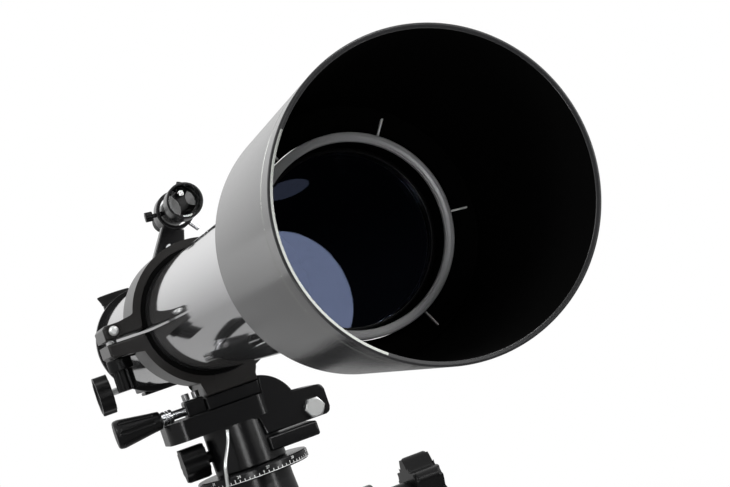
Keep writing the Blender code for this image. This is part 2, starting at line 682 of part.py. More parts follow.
def make_head():
    """Head casting that turns on the spindle, with its bolt, pointer and lock knob."""
    front = -HEAD_DEPTH / 2
    head = plate("head_casting", rounded(-HEAD_LEFT, HEAD_RIGHT, HEAD_DEPTH, HEAD_CORNER, HEAD_CORNER / 2),
                 HEAD_BODY_Z, HEAD_TOP_Z, "black_enamel", parent=PILLAR_AXIS)
    bevel = head.modifiers.new("edges", "BEVEL")
    bevel.width = HEAD_EDGE
    bevel.limit_method = "ANGLE"
    sink = HEAD_BODY_HEIGHT / 2
    fuse(head, rod("head_cylinder", HEAD_CYLINDER_R, HEAD_FOOT_Z, HEAD_BODY_Z + sink, None, MEDIUM_STEPS,
                   parent=PILLAR_AXIS))

    inner = SADDLE_WIDTH / 2 + CLEAR
    block_top = HEAD_BODY_Z + LUG_RISE
    block_foot = HEAD_BODY_Z - LUG_DROP
    arch_start = math.degrees(math.acos((inner - ARCH_X) / ARCH_R))
    arch_end = math.degrees(math.asin(LUG_RISE / ARCH_R))
    outline = [(0, HEAD_BODY_Z - CLEAR), (0, HEAD_BODY_Z + sink), (inner, HEAD_BODY_Z + sink)]
    outline += arc(ARCH_X, HEAD_BODY_Z, ARCH_R, arch_start, arch_end, ARCH_STEPS)
    outline += [(LUG_REACH, block_top), (LUG_REACH, block_foot), (HEAD_CYLINDER_R / 2, block_foot)]
    outline += [(HEAD_CYLINDER_R / 2, HEAD_BODY_Z - CLEAR)]
    lug_front = front + LUG_INSET
    upright = {"turn": (math.pi / 2, 0, 0), "parent": PILLAR_AXIS}
    shoulder = plate("head_shoulder", outline, -lug_front - ARCH_DEPTH, -lug_front, None, **upright)
    fuse(head, shoulder)
    lug_top = block_foot - LUG_SLIT
    fuse(head, block("lower_lug", (HEAD_CYLINDER_R / 2, lug_front, lug_top - LOWER_LUG_HEIGHT),
                     (LOWER_LUG_REACH, lug_front + ARCH_DEPTH, lug_top), None, parent=PILLAR_AXIS))

    bolt_z = HEAD_BODY_Z - LUG_DROP / 2
    bolt_place = {"at": (HEX_BOLT_X, 0, bolt_z), "turn": ALONG_Y, "parent": PILLAR_AXIS}
    shank_end = lug_front + ARCH_DEPTH - HEX_BOLT_STOP
    cut(head, rod("hex_bolt_bore", HEX_BOLT_R + CLEAR, lug_front - HEX_BOLT_R, shank_end + CLEAR, None,
                  **bolt_place))
    cut(head, rod("spindle_bore", SPINDLE_R + CLEAR, HEAD_FOOT_Z - SPINDLE_R, SPINDLE_TOP_Z + CLEAR, None,
                  MEDIUM_STEPS, parent=PILLAR_AXIS))
    lock_z = HEAD_BODY_Z - LOCK_DROP
    lock_place = {"at": (0, 0, lock_z), "turn": ALONG_X, "parent": PILLAR_AXIS}
    stud_tip = -HEAD_CYLINDER_R + LOCK_STUD_LENGTH
    cut(head, rod("lock_bore", LOCK_STUD_R + CLEAR, -2 * HEAD_CYLINDER_R, stud_tip + CLEAR, None,
                  **lock_place), solver="MANIFOLD")

    head_back = lug_front - CLEAR
    bolt = rod("head_hex_bolt", HEX_BOLT_R, head_back - HEX_HEAD_HEIGHT / 2, shank_end, "zinc_steel",
               **bolt_place)
    fuse(bolt, plate("hex_bolt_head", hexagon(HEX_HEAD_R), head_back - HEX_HEAD_HEIGHT, head_back, None,
                     **bolt_place))

    knob_start = -HEAD_CYLINDER_R - LOCK_KNOB_GAP
    knob = plate("axis_lock_knob", lobed(LOCK_KNOB_R, LOCK_LOBE_R, LOCK_KNOB_LOBES, LOBE_POINTS),
                 knob_start - LOCK_KNOB_LENGTH, knob_start, "black_plastic", **lock_place)
    bevel = knob.modifiers.new("edges", "BEVEL")
    bevel.width = LOCK_KNOB_EDGE
    fuse(knob, rod("lock_stud", LOCK_STUD_R, knob_start - LOCK_KNOB_LENGTH / 2, stud_tip, None, **lock_place))

    make_pointer()


def make_pointer():
    """Bent wire index that reaches from the head down to the setting circle's rim."""
    top_r = HEAD_CYLINDER_R + CLEAR + POINTER_R
    end_r = CIRCLE_R + CLEAR + POINTER_R
    top_angle = math.pi + math.acos(POINTER_TOP_X / top_r)
    end_angle = math.pi + math.acos(POINTER_END_X / end_r)
    top_z = HEAD_BODY_Z - POINTER_R - CLEAR
    end_z = CIRCLE_Z + POINTER_R
    points = []
    for step in range(POINTER_STEPS + 1):
        share = step / POINTER_STEPS
        swing = (1 - math.cos(math.pi * min(1, share / POINTER_BEND))) / 2
        radius = top_r + (end_r - top_r) * swing
        angle = top_angle + (end_angle - top_angle) * share
        points.append((radius * math.cos(angle), radius * math.sin(angle), top_z + (end_z - top_z) * share))
    wire("index_pointer", points, POINTER_R, "zinc_steel", parent=PILLAR_AXIS)


def make_slow_motion():
    """Slow-motion shaft in its bearing, with a chrome ferrule and a fluted handle."""
    shaft_z = HEAD_TOP_Z + SLOW_RISE
    place = {"at": (0, SLOW_Y, shaft_z), "turn": ALONG_X, "parent": PILLAR_AXIS}
    saddle_side = -SADDLE_WIDTH / 2
    half = SADDLE_DEPTH / 2
    saddle = block("saddle_block", (saddle_side, -half, SADDLE_Z),
                   (-saddle_side, half, SADDLE_Z + SADDLE_HEIGHT), "black_enamel", SADDLE_EDGE,
                   parent=PILLAR_AXIS)
    bore = SLOW_SHAFT_R + CLEAR
    shaft_tip = saddle_side + SLOW_BORE_DEPTH
    cut(saddle, rod("saddle_bore", bore, 2 * saddle_side, shaft_tip + CLEAR, None, **place))

    bearing_end = saddle_side - CLEAR
    bearing_start = bearing_end - BEARING_LENGTH
    bearing_top = HEAD_TOP_Z + CLEAR + BEARING_HEIGHT
    bearing = block("slow_motion_bearing", (bearing_start, SLOW_Y - BEARING_WIDTH / 2, HEAD_TOP_Z + CLEAR),
                    (bearing_end, SLOW_Y + BEARING_WIDTH / 2, bearing_top), "black_enamel", BEARING_EDGE,
                    parent=PILLAR_AXIS)
    cut(bearing, rod("bearing_bore", bore, 3 * saddle_side, 0, None, **place))
    for index in (1, 2):
        x = bearing_start + BEARING_LENGTH * (index - 0.5) / 2
        screw_place = {"at": (x, SLOW_Y, bearing_top), "parent": PILLAR_AXIS}
        cut(bearing, rod(f"bearing_screw_hole_{index}", BEARING_SCREW_SHANK_R + CLEAR,
                         -BEARING_SCREW_SHANK - CLEAR, BEARING_SCREW_SHANK, None, TINY_STEPS, **screw_place))
        turned(f"bearing_screw_{index}", [
            (0, CLEAR + BEARING_SCREW_HEAD),
            (BEARING_SCREW_R, CLEAR + BEARING_SCREW_HEAD),
            (BEARING_SCREW_R, CLEAR),
            (BEARING_SCREW_SHANK_R, CLEAR),
            (BEARING_SCREW_SHANK_R, -BEARING_SCREW_SHANK),
            (0, -BEARING_SCREW_SHANK),
        ], "satin_aluminium", TINY_STEPS, **screw_place)

    ferrule_end = saddle_side - SLOW_SHAFT_REACH
    ferrule_start = ferrule_end - FERRULE_LENGTH
    handle_end = ferrule_start - CLEAR
    handle_start = handle_end - HANDLE_LENGTH
    shaft_start = ferrule_start - FERRULE_LENGTH
    rod("slow_motion_shaft", SLOW_SHAFT_R, shaft_start, shaft_tip, "chrome", SMALL_STEPS, SLOW_SHAFT_EDGE,
        **place)
    ring("slow_motion_ferrule", bore, FERRULE_R, ferrule_start, ferrule_end, "chrome", SMALL_STEPS,
         FERRULE_EDGE, **place)
    handle = turned("slow_motion_handle", [
        (0, handle_end),
        (HANDLE_SMALL_R - HANDLE_ROUNDING / 2, handle_end),
        (HANDLE_SMALL_R, handle_end - HANDLE_ROUNDING),
        (HANDLE_BIG_R, handle_start + HANDLE_ROUNDING),
        (HANDLE_BIG_R - HANDLE_ROUNDING / 2, handle_start),
        (0, handle_start),
    ], "black_plastic", MEDIUM_STEPS, **place)
    cut(handle, rod("handle_bore", bore, shaft_start - CLEAR, handle_end + SLOW_SHAFT_R, None, **place))
    slope = math.atan2(HANDLE_BIG_R - HANDLE_SMALL_R, HANDLE_LENGTH)
    flute_x = HANDLE_BIG_R + HANDLE_FLUTE_R - HANDLE_FLUTE_DEPTH
    grip = empty("handle_grip", (0, SLOW_Y, shaft_z), ALONG_X, PILLAR_AXIS)
    for index in range(HANDLE_FLUTES):
        angle = 2 * math.pi * index / HANDLE_FLUTES
        spoke = empty(f"handle_spoke_{index}", (0, 0, handle_start), (0, 0, angle), grip)
        flute = rod(f"handle_flute_{index}", HANDLE_FLUTE_R, HANDLE_FLUTE_START,
                    HANDLE_LENGTH - HANDLE_FLUTE_STOP, None, TINY_STEPS, HANDLE_FLUTE_EDGE,
                    at=(flute_x, 0, 0), turn=(0, -slope, 0), parent=spoke)
        cut(handle, flute)


def cradle_outline(side):
    """Section of one cradle half: the ring, the clamp flange and, below, the foot. Side is 1 above."""
    split = CRADLE_SPLIT / 2
    flange = split + FLANGE_THICKNESS
    flange_end = math.degrees(math.asin(flange / CRADLE_R))
    hinge_end = math.degrees(math.asin(split / CRADLE_R))
    inner_end = math.degrees(math.asin(split / CRADLE_INNER_R))
    outline = [(-CRADLE_R - FLANGE_REACH, split), (-CRADLE_R - FLANGE_REACH, flange)]
    if side > 0:
        outline += arc(0, 0, CRADLE_R, HALF_TURN - flange_end, hinge_end, HALF_RING_STEPS)
    else:
        foot_angle = math.degrees(math.acos(FOOT_WIDTH / 2 / CRADLE_R))
        outline += arc(0, 0, CRADLE_R, HALF_TURN - flange_end, HALF_TURN - foot_angle, HALF_RING_STEPS // 2)
        outline += [(-FOOT_WIDTH / 2, CRADLE_R + FOOT_HEIGHT), (FOOT_WIDTH / 2, CRADLE_R + FOOT_HEIGHT)]
        outline += arc(0, 0, CRADLE_R, foot_angle, hinge_end, HALF_RING_STEPS // 2)
    outline += arc(0, 0, CRADLE_INNER_R, inner_end, HALF_TURN - inner_end, HALF_RING_STEPS)
    return [(x, side * z) for x, z in outline]


def make_cradle():
    """Two hinged halves lined with felt, with the clamp screw and its thumb knob."""
    section = {"turn": (math.pi / 2, 0, 0), "parent": OPTICAL_AXIS}
    half = CRADLE_LENGTH / 2
    hinge_x = CRADLE_R + KNUCKLE_STANDOFF
    split = CRADLE_SPLIT / 2
    clamp_x = -CRADLE_R - FLANGE_REACH + CLAMP_INSET
    clamp = {"at": (clamp_x, 0, 0), "parent": OPTICAL_AXIS}
    hinge = {"at": (hinge_x, 0, 0), **ON_TUBE}
    flange = split + FLANGE_THICKNESS
    pin_z = split + FLANGE_THICKNESS / 2
    cross_pin = {"at": (clamp_x, 0, pin_z), **ON_TUBE}
    middle = KNUCKLE_LENGTH / 2
    spans = {1: [(-middle, middle)], -1: [(-half, -middle - CLEAR), (middle + CLEAR, half)]}
    for side, name in ((-1, "lower"), (1, "upper")):
        part = plate(f"cradle_{name}", cradle_outline(side), -half, half, "black_enamel", **section)
        for low, high in spans[side]:
            knuckle = rod(f"knuckle_{name}_{low > 0}", KNUCKLE_R, low, high, None, **hinge)
            web_low, web_high = sorted((side * split, side * (split + KNUCKLE_R)))
            web = block(f"hinge_web_{name}_{low > 0}", (CRADLE_R - CRADLE_WALL / 2, low, web_low),
                        (hinge_x, high, web_high), None, parent=OPTICAL_AXIS)
            fuse(part, web, knuckle)
        cut(part, rod(f"hinge_bore_{name}", PIN_R + CLEAR, -CRADLE_LENGTH, CRADLE_LENGTH, None, TINY_STEPS,
                      **hinge))
        bore_top = pin_z if side > 0 else 0
        cut(part, rod(f"clamp_bore_{name}", CLAMP_BOLT_R + CLEAR, -2 * flange, bore_top + CLEAR, None,
                      TINY_STEPS, **clamp))
        if side > 0:
            cut(part, rod("clamp_pin_bore", CLAMP_PIN_R + CLEAR, -CRADLE_LENGTH, CRADLE_LENGTH, None,
                          TINY_STEPS, **cross_pin))
        felt_gap = math.degrees(math.asin(split / FELT_INNER_R))
        felt = arc(0, 0, FELT_INNER_R + FELT_THICKNESS, HALF_TURN - felt_gap, felt_gap, HALF_RING_STEPS)
        felt += arc(0, 0, FELT_INNER_R, felt_gap, HALF_TURN - felt_gap, HALF_RING_STEPS)
        felt_end = half + FELT_OVERHANG
        plate(f"felt_{name}", [(x, side * z) for x, z in felt], -felt_end, felt_end, "black_felt", **section)
    pin_end = half + PIN_OVERHANG
    rod("cradle_hinge_pin", PIN_R, -pin_end, pin_end, "zinc_steel", TINY_STEPS, PIN_EDGE, **hinge)

    seat = flange + CLEAR
    knob_end = -seat - CLAMP_COLLAR_HEIGHT - CLAMP_KNOB_HEIGHT
    bolt_end = knob_end + CLAMP_BOLT_STOP
    bolt = rod("clamp_bolt", CLAMP_BOLT_R, bolt_end, pin_z, "zinc_steel", SMALL_STEPS, **clamp)
    head_y = -half - CLEAR
    fuse(bolt, turned("clamp_cross_pin", [
        (0, half),
        (CLAMP_PIN_R, half),
        (CLAMP_PIN_R, head_y),
        (CLAMP_HEAD_R, head_y),
        (CLAMP_HEAD_R, head_y - CLAMP_HEAD_HEIGHT / 2),
        (CLAMP_HEAD_TOP_R, head_y - CLAMP_HEAD_HEIGHT),
        (0, head_y - CLAMP_HEAD_HEIGHT),
    ], None, SMALL_STEPS, **cross_pin))
    knob = plate("clamp_knob", lobed(CLAMP_KNOB_R, CLAMP_RIB_DEPTH, CLAMP_KNOB_RIBS, RIB_POINTS), knob_end,
                 -seat - CLAMP_COLLAR_HEIGHT / 2, "black_plastic", **clamp)
    fuse(knob, rod("clamp_collar", CLAMP_COLLAR_R, -seat - CLAMP_COLLAR_HEIGHT, -seat, None, SMALL_STEPS,
                   CLAMP_COLLAR_EDGE, **clamp))
    cut(knob, rod("clamp_thread", CLAMP_BOLT_R + CLEAR, bolt_end - CLEAR, CLAMP_BOLT_R, None, TINY_STEPS,
                  **clamp))


def make_tube():
    """Main tube, dew shield with its ribbed back wall, and the baffles."""
    ring("main_tube", TUBE_BORE_R, TUBE_R, TUBE_FRONT_Y, TAIL_REACH, "white_enamel", LARGE_STEPS, **ON_TUBE)
    lip_y = DEW_FRONT_Y + DEW_LIP_LENGTH
    lip_r = DEW_FRONT_R + (DEW_BACK_R - DEW_FRONT_R) * DEW_LIP_LENGTH / DEW_LENGTH
    wall_y = DEW_BACK_Y - DEW_BACK_WALL
    shield = turned("dew_shield", [
        (DEW_BACK_R - DEW_EDGE, DEW_BACK_Y),
        (DEW_BACK_R, DEW_BACK_Y - DEW_EDGE),
        (lip_r - DEW_LIP_STEP, lip_y),
        (lip_r, lip_y - DEW_LIP_STEP),
        (DEW_FRONT_R, DEW_FRONT_Y + DEW_EDGE),
        (DEW_FRONT_R - DEW_EDGE, DEW_FRONT_Y),
        (DEW_FRONT_R - DEW_WALL + DEW_EDGE / 2, DEW_FRONT_Y),
        (DEW_FRONT_R - DEW_WALL, DEW_FRONT_Y + DEW_EDGE / 2),
        (DEW_BACK_R - DEW_WALL, wall_y),
        (CELL_R + CLEAR, wall_y),
        (CELL_R + CLEAR, DEW_BACK_Y),
    ], "dark_plastic", LARGE_STEPS, **ON_TUBE)
    rib_start = CELL_R + RIB_WIDTH
    for index in range(RIB_COUNT):
        spoke = empty(f"rib_spoke_{index}", (0, 0, 0), (0, 2 * math.pi * index / RIB_COUNT, 0), OPTICAL_AXIS)
        rib_end = (rib_start + RIB_LENGTH, wall_y + DEW_BACK_WALL / 2, RIB_WIDTH / 2)
        fuse(shield, block(f"rib_{index}", (rib_start, wall_y - RIB_HEIGHT, -RIB_WIDTH / 2), rib_end, None,
                           parent=spoke))
    outer = TUBE_BORE_R - CLEAR
    for name, (reach, aperture) in BAFFLES.items():
        turned(name, [
            (outer, BAFFLE_FLANGE - reach),
            (outer, -reach),
            (aperture, -reach),
            (aperture, BAFFLE_THICKNESS - reach),
            (outer - BAFFLE_THICKNESS, BAFFLE_THICKNESS - reach),
            (outer - BAFFLE_THICKNESS, BAFFLE_FLANGE - reach),
        ], "matt_black", MEDIUM_STEPS, **ON_TUBE)


def make_objective():
    """Lens cell on the tube's front end, with the two glasses, spacer, retainer and front ring."""
    socket = TUBE_R + CLEAR
    sleeve = socket + CELL_WALL
    sleeve_end = TUBE_FRONT_Y + CELL_SLEEVE
    collar_end = DEW_BACK_Y + CELL_COLLAR
    seat_bore = GLASS_R - SEAT_LIP
    turned("lens_cell", [
        (sleeve, sleeve_end),
        (sleeve, collar_end),
        (CELL_R, collar_end),
        (CELL_R, CELL_FRONT_Y),
        (CELL_BORE_R, CELL_FRONT_Y),
        (CELL_BORE_R, SEAT_Y),
        (seat_bore, SEAT_Y),
        (seat_bore, SEAT_Y + SEAT_THICKNESS),
        (socket, SEAT_Y + SEAT_THICKNESS),
        (socket, sleeve_end),
    ], "satin_aluminium", LARGE_STEPS, **ON_TUBE)
    ring_back = CELL_FRONT_Y - CLEAR
    ring("lens_ring", CELL_BORE_R, CELL_R, ring_back - LENS_RING_THICKNESS, ring_back, "satin_aluminium",
         LARGE_STEPS, LENS_RING_EDGE, **ON_TUBE)
    retainer_back = CROWN_Y - CLEAR
    ring("lens_retainer", GLASS_R - RETAINER_WIDTH, GLASS_R, retainer_back - RETAINER_LENGTH, retainer_back,
         "matt_black", MEDIUM_STEPS, **ON_TUBE)
    crown = lens_profile(GLASS_R, CROWN_Y, CROWN_EDGE, CROWN_CURVE, INNER_CURVE)
    turned("crown_lens", crown, "coated_glass", MEDIUM_STEPS, **ON_TUBE)
    ring("lens_spacer", GLASS_R - SPACER_WIDTH, GLASS_R, SPACER_Y, SPACER_Y + SPACER_LENGTH, "matt_black",
         MEDIUM_STEPS, **ON_TUBE)
    flint = lens_profile(GLASS_R, FLINT_Y, FLINT_EDGE, -INNER_CURVE, FLINT_CURVE)
    turned("flint_lens", flint, "coated_glass", MEDIUM_STEPS, **ON_TUBE)


FOCUSER_Y = TAIL_REACH + CLEAR
FLANGE_END_Y = FOCUSER_Y + FOCUSER_FLANGE
TAPER_END_Y = FLANGE_END_Y + FOCUSER_TAPER
BARREL_END_Y = TAPER_END_Y + FOCUSER_BARREL
DRAWTUBE_BORE_R = DRAWTUBE_R + CLEAR
DRAWTUBE_FRONT_Y = FOCUSER_Y - DRAWTUBE_FRONT
DRAWTUBE_END_Y = FOCUSER_Y + DRAWTUBE_TAIL
PINION_AXIS_Y = FOCUSER_Y + PINION_Y
PITCH_R = TOOTH_PITCH * PINION_TEETH / (2 * math.pi)
RACK_TOP = -DRAWTUBE_R - CLEAR
RACK_ROOT = RACK_TOP - RACK_BODY
PINION_Z = RACK_ROOT - TOOTH_HEIGHT / 2 - PITCH_R
TOOTH_HALF = TOOTH_PITCH / 4 - TOOTH_THINNING / 2
TOOTH_SLOPE = math.tan(math.radians(20))
SIDE_VIEW = (math.pi / 2, 0, math.pi / 2)
ON_SIDE = {"turn": SIDE_VIEW, "parent": OPTICAL_AXIS}


def rack_outline():
    """Side outline of the rack: a bar with teeth below, a gap facing the pinion's top tooth."""
    start = DRAWTUBE_FRONT_Y + TOOTH_PITCH
    end = start + RACK_LENGTH
    tip = RACK_ROOT - TOOTH_HEIGHT
    flank = TOOTH_HEIGHT / 2 * TOOTH_SLOPE
    outline = [(end, RACK_ROOT), (end, RACK_TOP), (start, RACK_TOP), (start, RACK_ROOT)]
    first = math.ceil((start - PINION_AXIS_Y) / TOOTH_PITCH)
    last = math.floor((end - PINION_AXIS_Y) / TOOTH_PITCH) - 1
    for index in range(first, last + 1):
        middle = PINION_AXIS_Y + (index + 0.5) * TOOTH_PITCH
        outline += [
            (middle - TOOTH_HALF - flank, RACK_ROOT),
            (middle - TOOTH_HALF + flank, tip),
            (middle + TOOTH_HALF - flank, tip),
            (middle + TOOTH_HALF + flank, RACK_ROOT),
        ]
    return outline


def pinion_outline():
    """Outline of the pinion about its shaft, with one tooth straight up."""
    addendum = TOOTH_HEIGHT / 2 - TOOTH_THINNING / 3
    tip = PITCH_R + addendum
    root = PITCH_R - TOOTH_HEIGHT / 2 - TOOTH_THINNING / 2
    flank = addendum * TOOTH_SLOPE
    outline = []
    for index in range(PINION_TEETH):
        middle = math.pi / 2 + 2 * math.pi * index / PINION_TEETH
        for radius, half in ((root, -TOOTH_HALF - flank), (tip, flank - TOOTH_HALF),
                             (tip, TOOTH_HALF - flank), (root, TOOTH_HALF + flank)):
            angle = middle + half / radius
            outline.append((radius * math.cos(angle), radius * math.sin(angle)))
    return outline


def make_focuser():
    """Rack-and-pinion focuser: housing, pinion with two knobs, cover, drawtube with rack, lock screw."""
    spigot = TUBE_BORE_R - CLEAR
    spigot_bore = spigot - CELL_WALL
    barrel = DRAWTUBE_BORE_R + FOCUSER_BARREL_WALL
    cast_bore = DRAWTUBE_BORE_R - FOCUSER_BARREL_WALL / 2
    body = turned("focuser_body", [
        (barrel, BARREL_END_Y),
        (barrel, TAPER_END_Y),
        (FOCUSER_FLANGE_R - FOCUSER_EDGE, FLANGE_END_Y),
        (FOCUSER_FLANGE_R, FLANGE_END_Y - FOCUSER_EDGE),
        (FOCUSER_FLANGE_R, FOCUSER_Y),
        (spigot, FOCUSER_Y),
        (spigot, FOCUSER_Y - FOCUSER_SPIGOT),
        (spigot_bore, FOCUSER_Y - FOCUSER_SPIGOT),
        (spigot_bore, FLANGE_END_Y),
        (cast_bore, TAPER_END_Y),
        (cast_bore, BARREL_END_Y),
    ], "black_plastic", MEDIUM_STEPS, **ON_TUBE)
    gear_tip = PITCH_R + TOOTH_HEIGHT / 2
    box_half = PINION_BOX_WIDTH / 2
    box_start = PINION_AXIS_Y - PINION_BOX_LENGTH / 2
    box_foot = PINION_Z - gear_tip - PINION_FLOOR
    box_top = PINION_BOX_ROOT - DRAWTUBE_R
    fuse(body, block("pinion_box", (-box_half, box_start, box_foot),
                     (box_half, BARREL_END_Y - PINION_BOX_SETBACK, box_top), None, parent=OPTICAL_AXIS))
    far = BARREL_END_Y + DRAWTUBE_R
    cut(body, rod("drawtube_bore", DRAWTUBE_BORE_R, DRAWTUBE_FRONT_Y, far, None, MEDIUM_STEPS, **ON_TUBE))
    channel = RACK_WIDTH / 2 + CLEAR
    channel_foot = RACK_ROOT - TOOTH_HEIGHT - CLEAR
    slot = block("rack_channel", (-channel, DRAWTUBE_FRONT_Y, channel_foot), (channel, far, 0), None,
                 parent=OPTICAL_AXIS)
    cut(body, slot, solver="MANIFOLD")
    pocket = gear_tip + 2 * CLEAR
    well = block("pinion_pocket", (-channel, PINION_AXIS_Y - pocket, box_foot - PINION_FLOOR),
                 (channel, PINION_AXIS_Y + pocket, 0), None, parent=OPTICAL_AXIS)
    cut(body, well, solver="MANIFOLD")
    pinion_place = {"at": (0, PINION_AXIS_Y, PINION_Z), "turn": ALONG_X, "parent": OPTICAL_AXIS}
    bore = rod("pinion_bore", PINION_SHAFT_R + CLEAR, -PINION_BOX_WIDTH, PINION_BOX_WIDTH, None,
               **pinion_place)
    cut(body, bore, solver="MANIFOLD")
    block("pinion_cover", (-box_half, box_start, box_foot - CLEAR - PINION_COVER_THICKNESS),
          (box_half, box_start + PINION_BOX_LENGTH, box_foot - CLEAR), "black_plastic", PINION_COVER_EDGE,
          parent=OPTICAL_AXIS)

    shaft_end = FOCUS_SHAFT_REACH + FOCUS_KNOB_WIDTH * 2 / 3
    shaft = rod("pinion_shaft", PINION_SHAFT_R, -shaft_end, shaft_end, "zinc_steel", **pinion_place)
    fuse(shaft, plate("pinion_gear", pinion_outline(), -RACK_WIDTH / 2, RACK_WIDTH / 2, None,
                      at=(0, PINION_AXIS_Y, PINION_Z), **ON_SIDE))
    for side, name in ((-1, "left"), (1, "right")):
        low, high = sorted((side * FOCUS_SHAFT_REACH, side * (FOCUS_SHAFT_REACH + FOCUS_KNOB_WIDTH)))
        knob = plate(f"focus_knob_{name}", lobed(FOCUS_KNOB_R, FOCUS_KNOB_RIB_R, FOCUS_KNOB_RIBS, RIB_POINTS),
                     low, high, "black_plastic", **pinion_place)
        mouth = side * FOCUS_SHAFT_REACH
        bore_low, bore_high = sorted((mouth - side * PINION_SHAFT_R, side * (shaft_end + CLEAR)))
        cut(knob, rod(f"focus_knob_bore_{name}", PINION_SHAFT_R + CLEAR, bore_low, bore_high, None,
                      **pinion_place))

    ring("drawtube", DRAWTUBE_R - DRAWTUBE_WALL, DRAWTUBE_R, DRAWTUBE_FRONT_Y, DRAWTUBE_END_Y, "chrome",
         MEDIUM_STEPS, **ON_TUBE)
    plate("drawtube_rack", rack_outline(), -RACK_WIDTH / 2, RACK_WIDTH / 2, "black_plastic", **ON_SIDE)

    screw = {"at": (0, FOCUSER_Y + LOCK_SCREW_Y, 0), "parent": OPTICAL_AXIS}
    hole = rod("lock_screw_hole", LOCK_SCREW_R + CLEAR, 0, 2 * barrel, None, HOLE_STEPS, **screw)
    cut(body, hole, solver="MANIFOLD")
    thumb_screw("focus_lock_screw", LOCK_SCREW_R, DRAWTUBE_BORE_R, barrel + LOCK_SCREW_GAP, LOCK_SCREW_KNOB_R,
                LOCK_SCREW_KNOB_HEIGHT, **screw)


def thumb_screw(name, radius, tip, knob_start, knob_radius, knob_length, **place):
    """Screw along local Z with a round knob, from its tip outwards."""
    edge = knob_radius / 8
    knob_end = knob_start + knob_length
    turned(name, [
        (0, knob_end),
        (knob_radius - edge, knob_end),
        (knob_radius, knob_end - edge),
        (knob_radius, knob_start + edge),
        (knob_radius - edge, knob_start),
        (radius, knob_start),
        (radius, tip),
        (0, tip),
    ], "black_plastic", TINY_STEPS, **place)


ADAPTER_Y = DRAWTUBE_END_Y + CLEAR
ADAPTER_END_Y = ADAPTER_Y + ADAPTER_LENGTH
DIAGONAL_Y = ADAPTER_END_Y + CLEAR
EYE_AXIS_Y = DIAGONAL_Y + DIAGONAL_SIZE / 2
PUSH_BORE_R = PUSH_FIT_R + CLEAR


def make_diagonal():
    """Push-fit adapter on the drawtube, and the star diagonal with its prism and set screws."""
    spigot = DRAWTUBE_R - DRAWTUBE_WALL - CLEAR
    adapter = turned("drawtube_adapter", [
        (ADAPTER_R, ADAPTER_END_Y),
        (ADAPTER_R, ADAPTER_Y),
        (spigot, ADAPTER_Y),
        (spigot, ADAPTER_Y - ADAPTER_SPIGOT),
        (PUSH_BORE_R, ADAPTER_Y - ADAPTER_SPIGOT),
        (PUSH_BORE_R, ADAPTER_END_Y),
    ], "black_plastic", MEDIUM_STEPS, **ON_TUBE)
    screw = {"at": (0, ADAPTER_Y + ADAPTER_LENGTH / 2, 0), "parent": OPTICAL_AXIS}
    cut(adapter, rod("adapter_screw_hole", SET_SCREW_R + CLEAR, 0, 2 * ADAPTER_R, None, HOLE_STEPS, **screw))
    thumb_screw("adapter_set_screw", SET_SCREW_R, PUSH_BORE_R, ADAPTER_R + SET_SCREW_R, SET_SCREW_KNOB_R,
                SET_SCREW_KNOB_LENGTH, **screw)

    half = DIAGONAL_SIZE / 2
    outline = [
        (DIAGONAL_Y, -half),
        (DIAGONAL_Y + DIAGONAL_SIZE - DIAGONAL_CUT, -half),
        (DIAGONAL_Y + DIAGONAL_SIZE, DIAGONAL_CUT - half),
        (DIAGONAL_Y + DIAGONAL_SIZE, half),
        (DIAGONAL_Y, half),
    ]
    body = plate("diagonal_body", outline, -half, half, "black_plastic", **ON_SIDE)
    leg = PRISM_LEG / 2
    prism_y = EYE_AXIS_Y - leg
    spare = CLEAR * (1 + math.sqrt(2))
    front = prism_y - CLEAR
    pocket = [(front, -leg - spare), (prism_y + PRISM_LEG + spare, leg + CLEAR), (front, leg + CLEAR)]
    side = PRISM_WIDTH / 2
    cut(body, plate("prism_pocket", pocket, -side - CLEAR, side + CLEAR, None, **ON_SIDE))
    prism = [(prism_y, -leg), (prism_y + PRISM_LEG, leg), (prism_y, leg)]
    plate("diagonal_prism", prism, -side, side, "coated_glass", **ON_SIDE)

    eye = {"at": (0, EYE_AXIS_Y, 0), "parent": OPTICAL_AXIS}
    fuse(body, rod("diagonal_nose", PUSH_FIT_R, DIAGONAL_Y - NOSE_LENGTH, DIAGONAL_Y + NOSE_WALL, None,
                   MEDIUM_STEPS, **ON_TUBE))
    fuse(body, rod("diagonal_tube", DIAGONAL_TUBE_R, half - NOSE_WALL, DIAGONAL_TUBE_TOP, None, MEDIUM_STEPS,
                   **eye))
    cut(body, rod("nose_bore", PUSH_FIT_R - NOSE_WALL, DIAGONAL_Y - 2 * NOSE_LENGTH, prism_y, None,
                  MEDIUM_STEPS, **ON_TUBE))
    seat = DIAGONAL_TUBE_TOP - EYEPIECE_INSERT - CLEAR
    cut(body, rod("light_bore", leg - NOSE_WALL / 2, leg - NOSE_WALL, seat + NOSE_WALL, None, **eye))
    cut(body, rod("eyepiece_bore", PUSH_BORE_R, seat, 2 * DIAGONAL_TUBE_TOP, None, MEDIUM_STEPS, **eye))

    screw_z = (half + DIAGONAL_TUBE_TOP) / 2
    rear = {"at": (0, EYE_AXIS_Y, screw_z), "turn": ALONG_Y, "parent": OPTICAL_AXIS}
    hole = rod("diagonal_screw_hole", SET_SCREW_R + CLEAR, 0, 2 * DIAGONAL_TUBE_R, None, HOLE_STEPS, **rear)
    cut(body, hole, solver="MANIFOLD")
    thumb_screw("diagonal_set_screw", SET_SCREW_R, PUSH_BORE_R, DIAGONAL_TUBE_R + SET_SCREW_R,
                SET_SCREW_KNOB_R, SET_SCREW_KNOB_LENGTH, **rear)


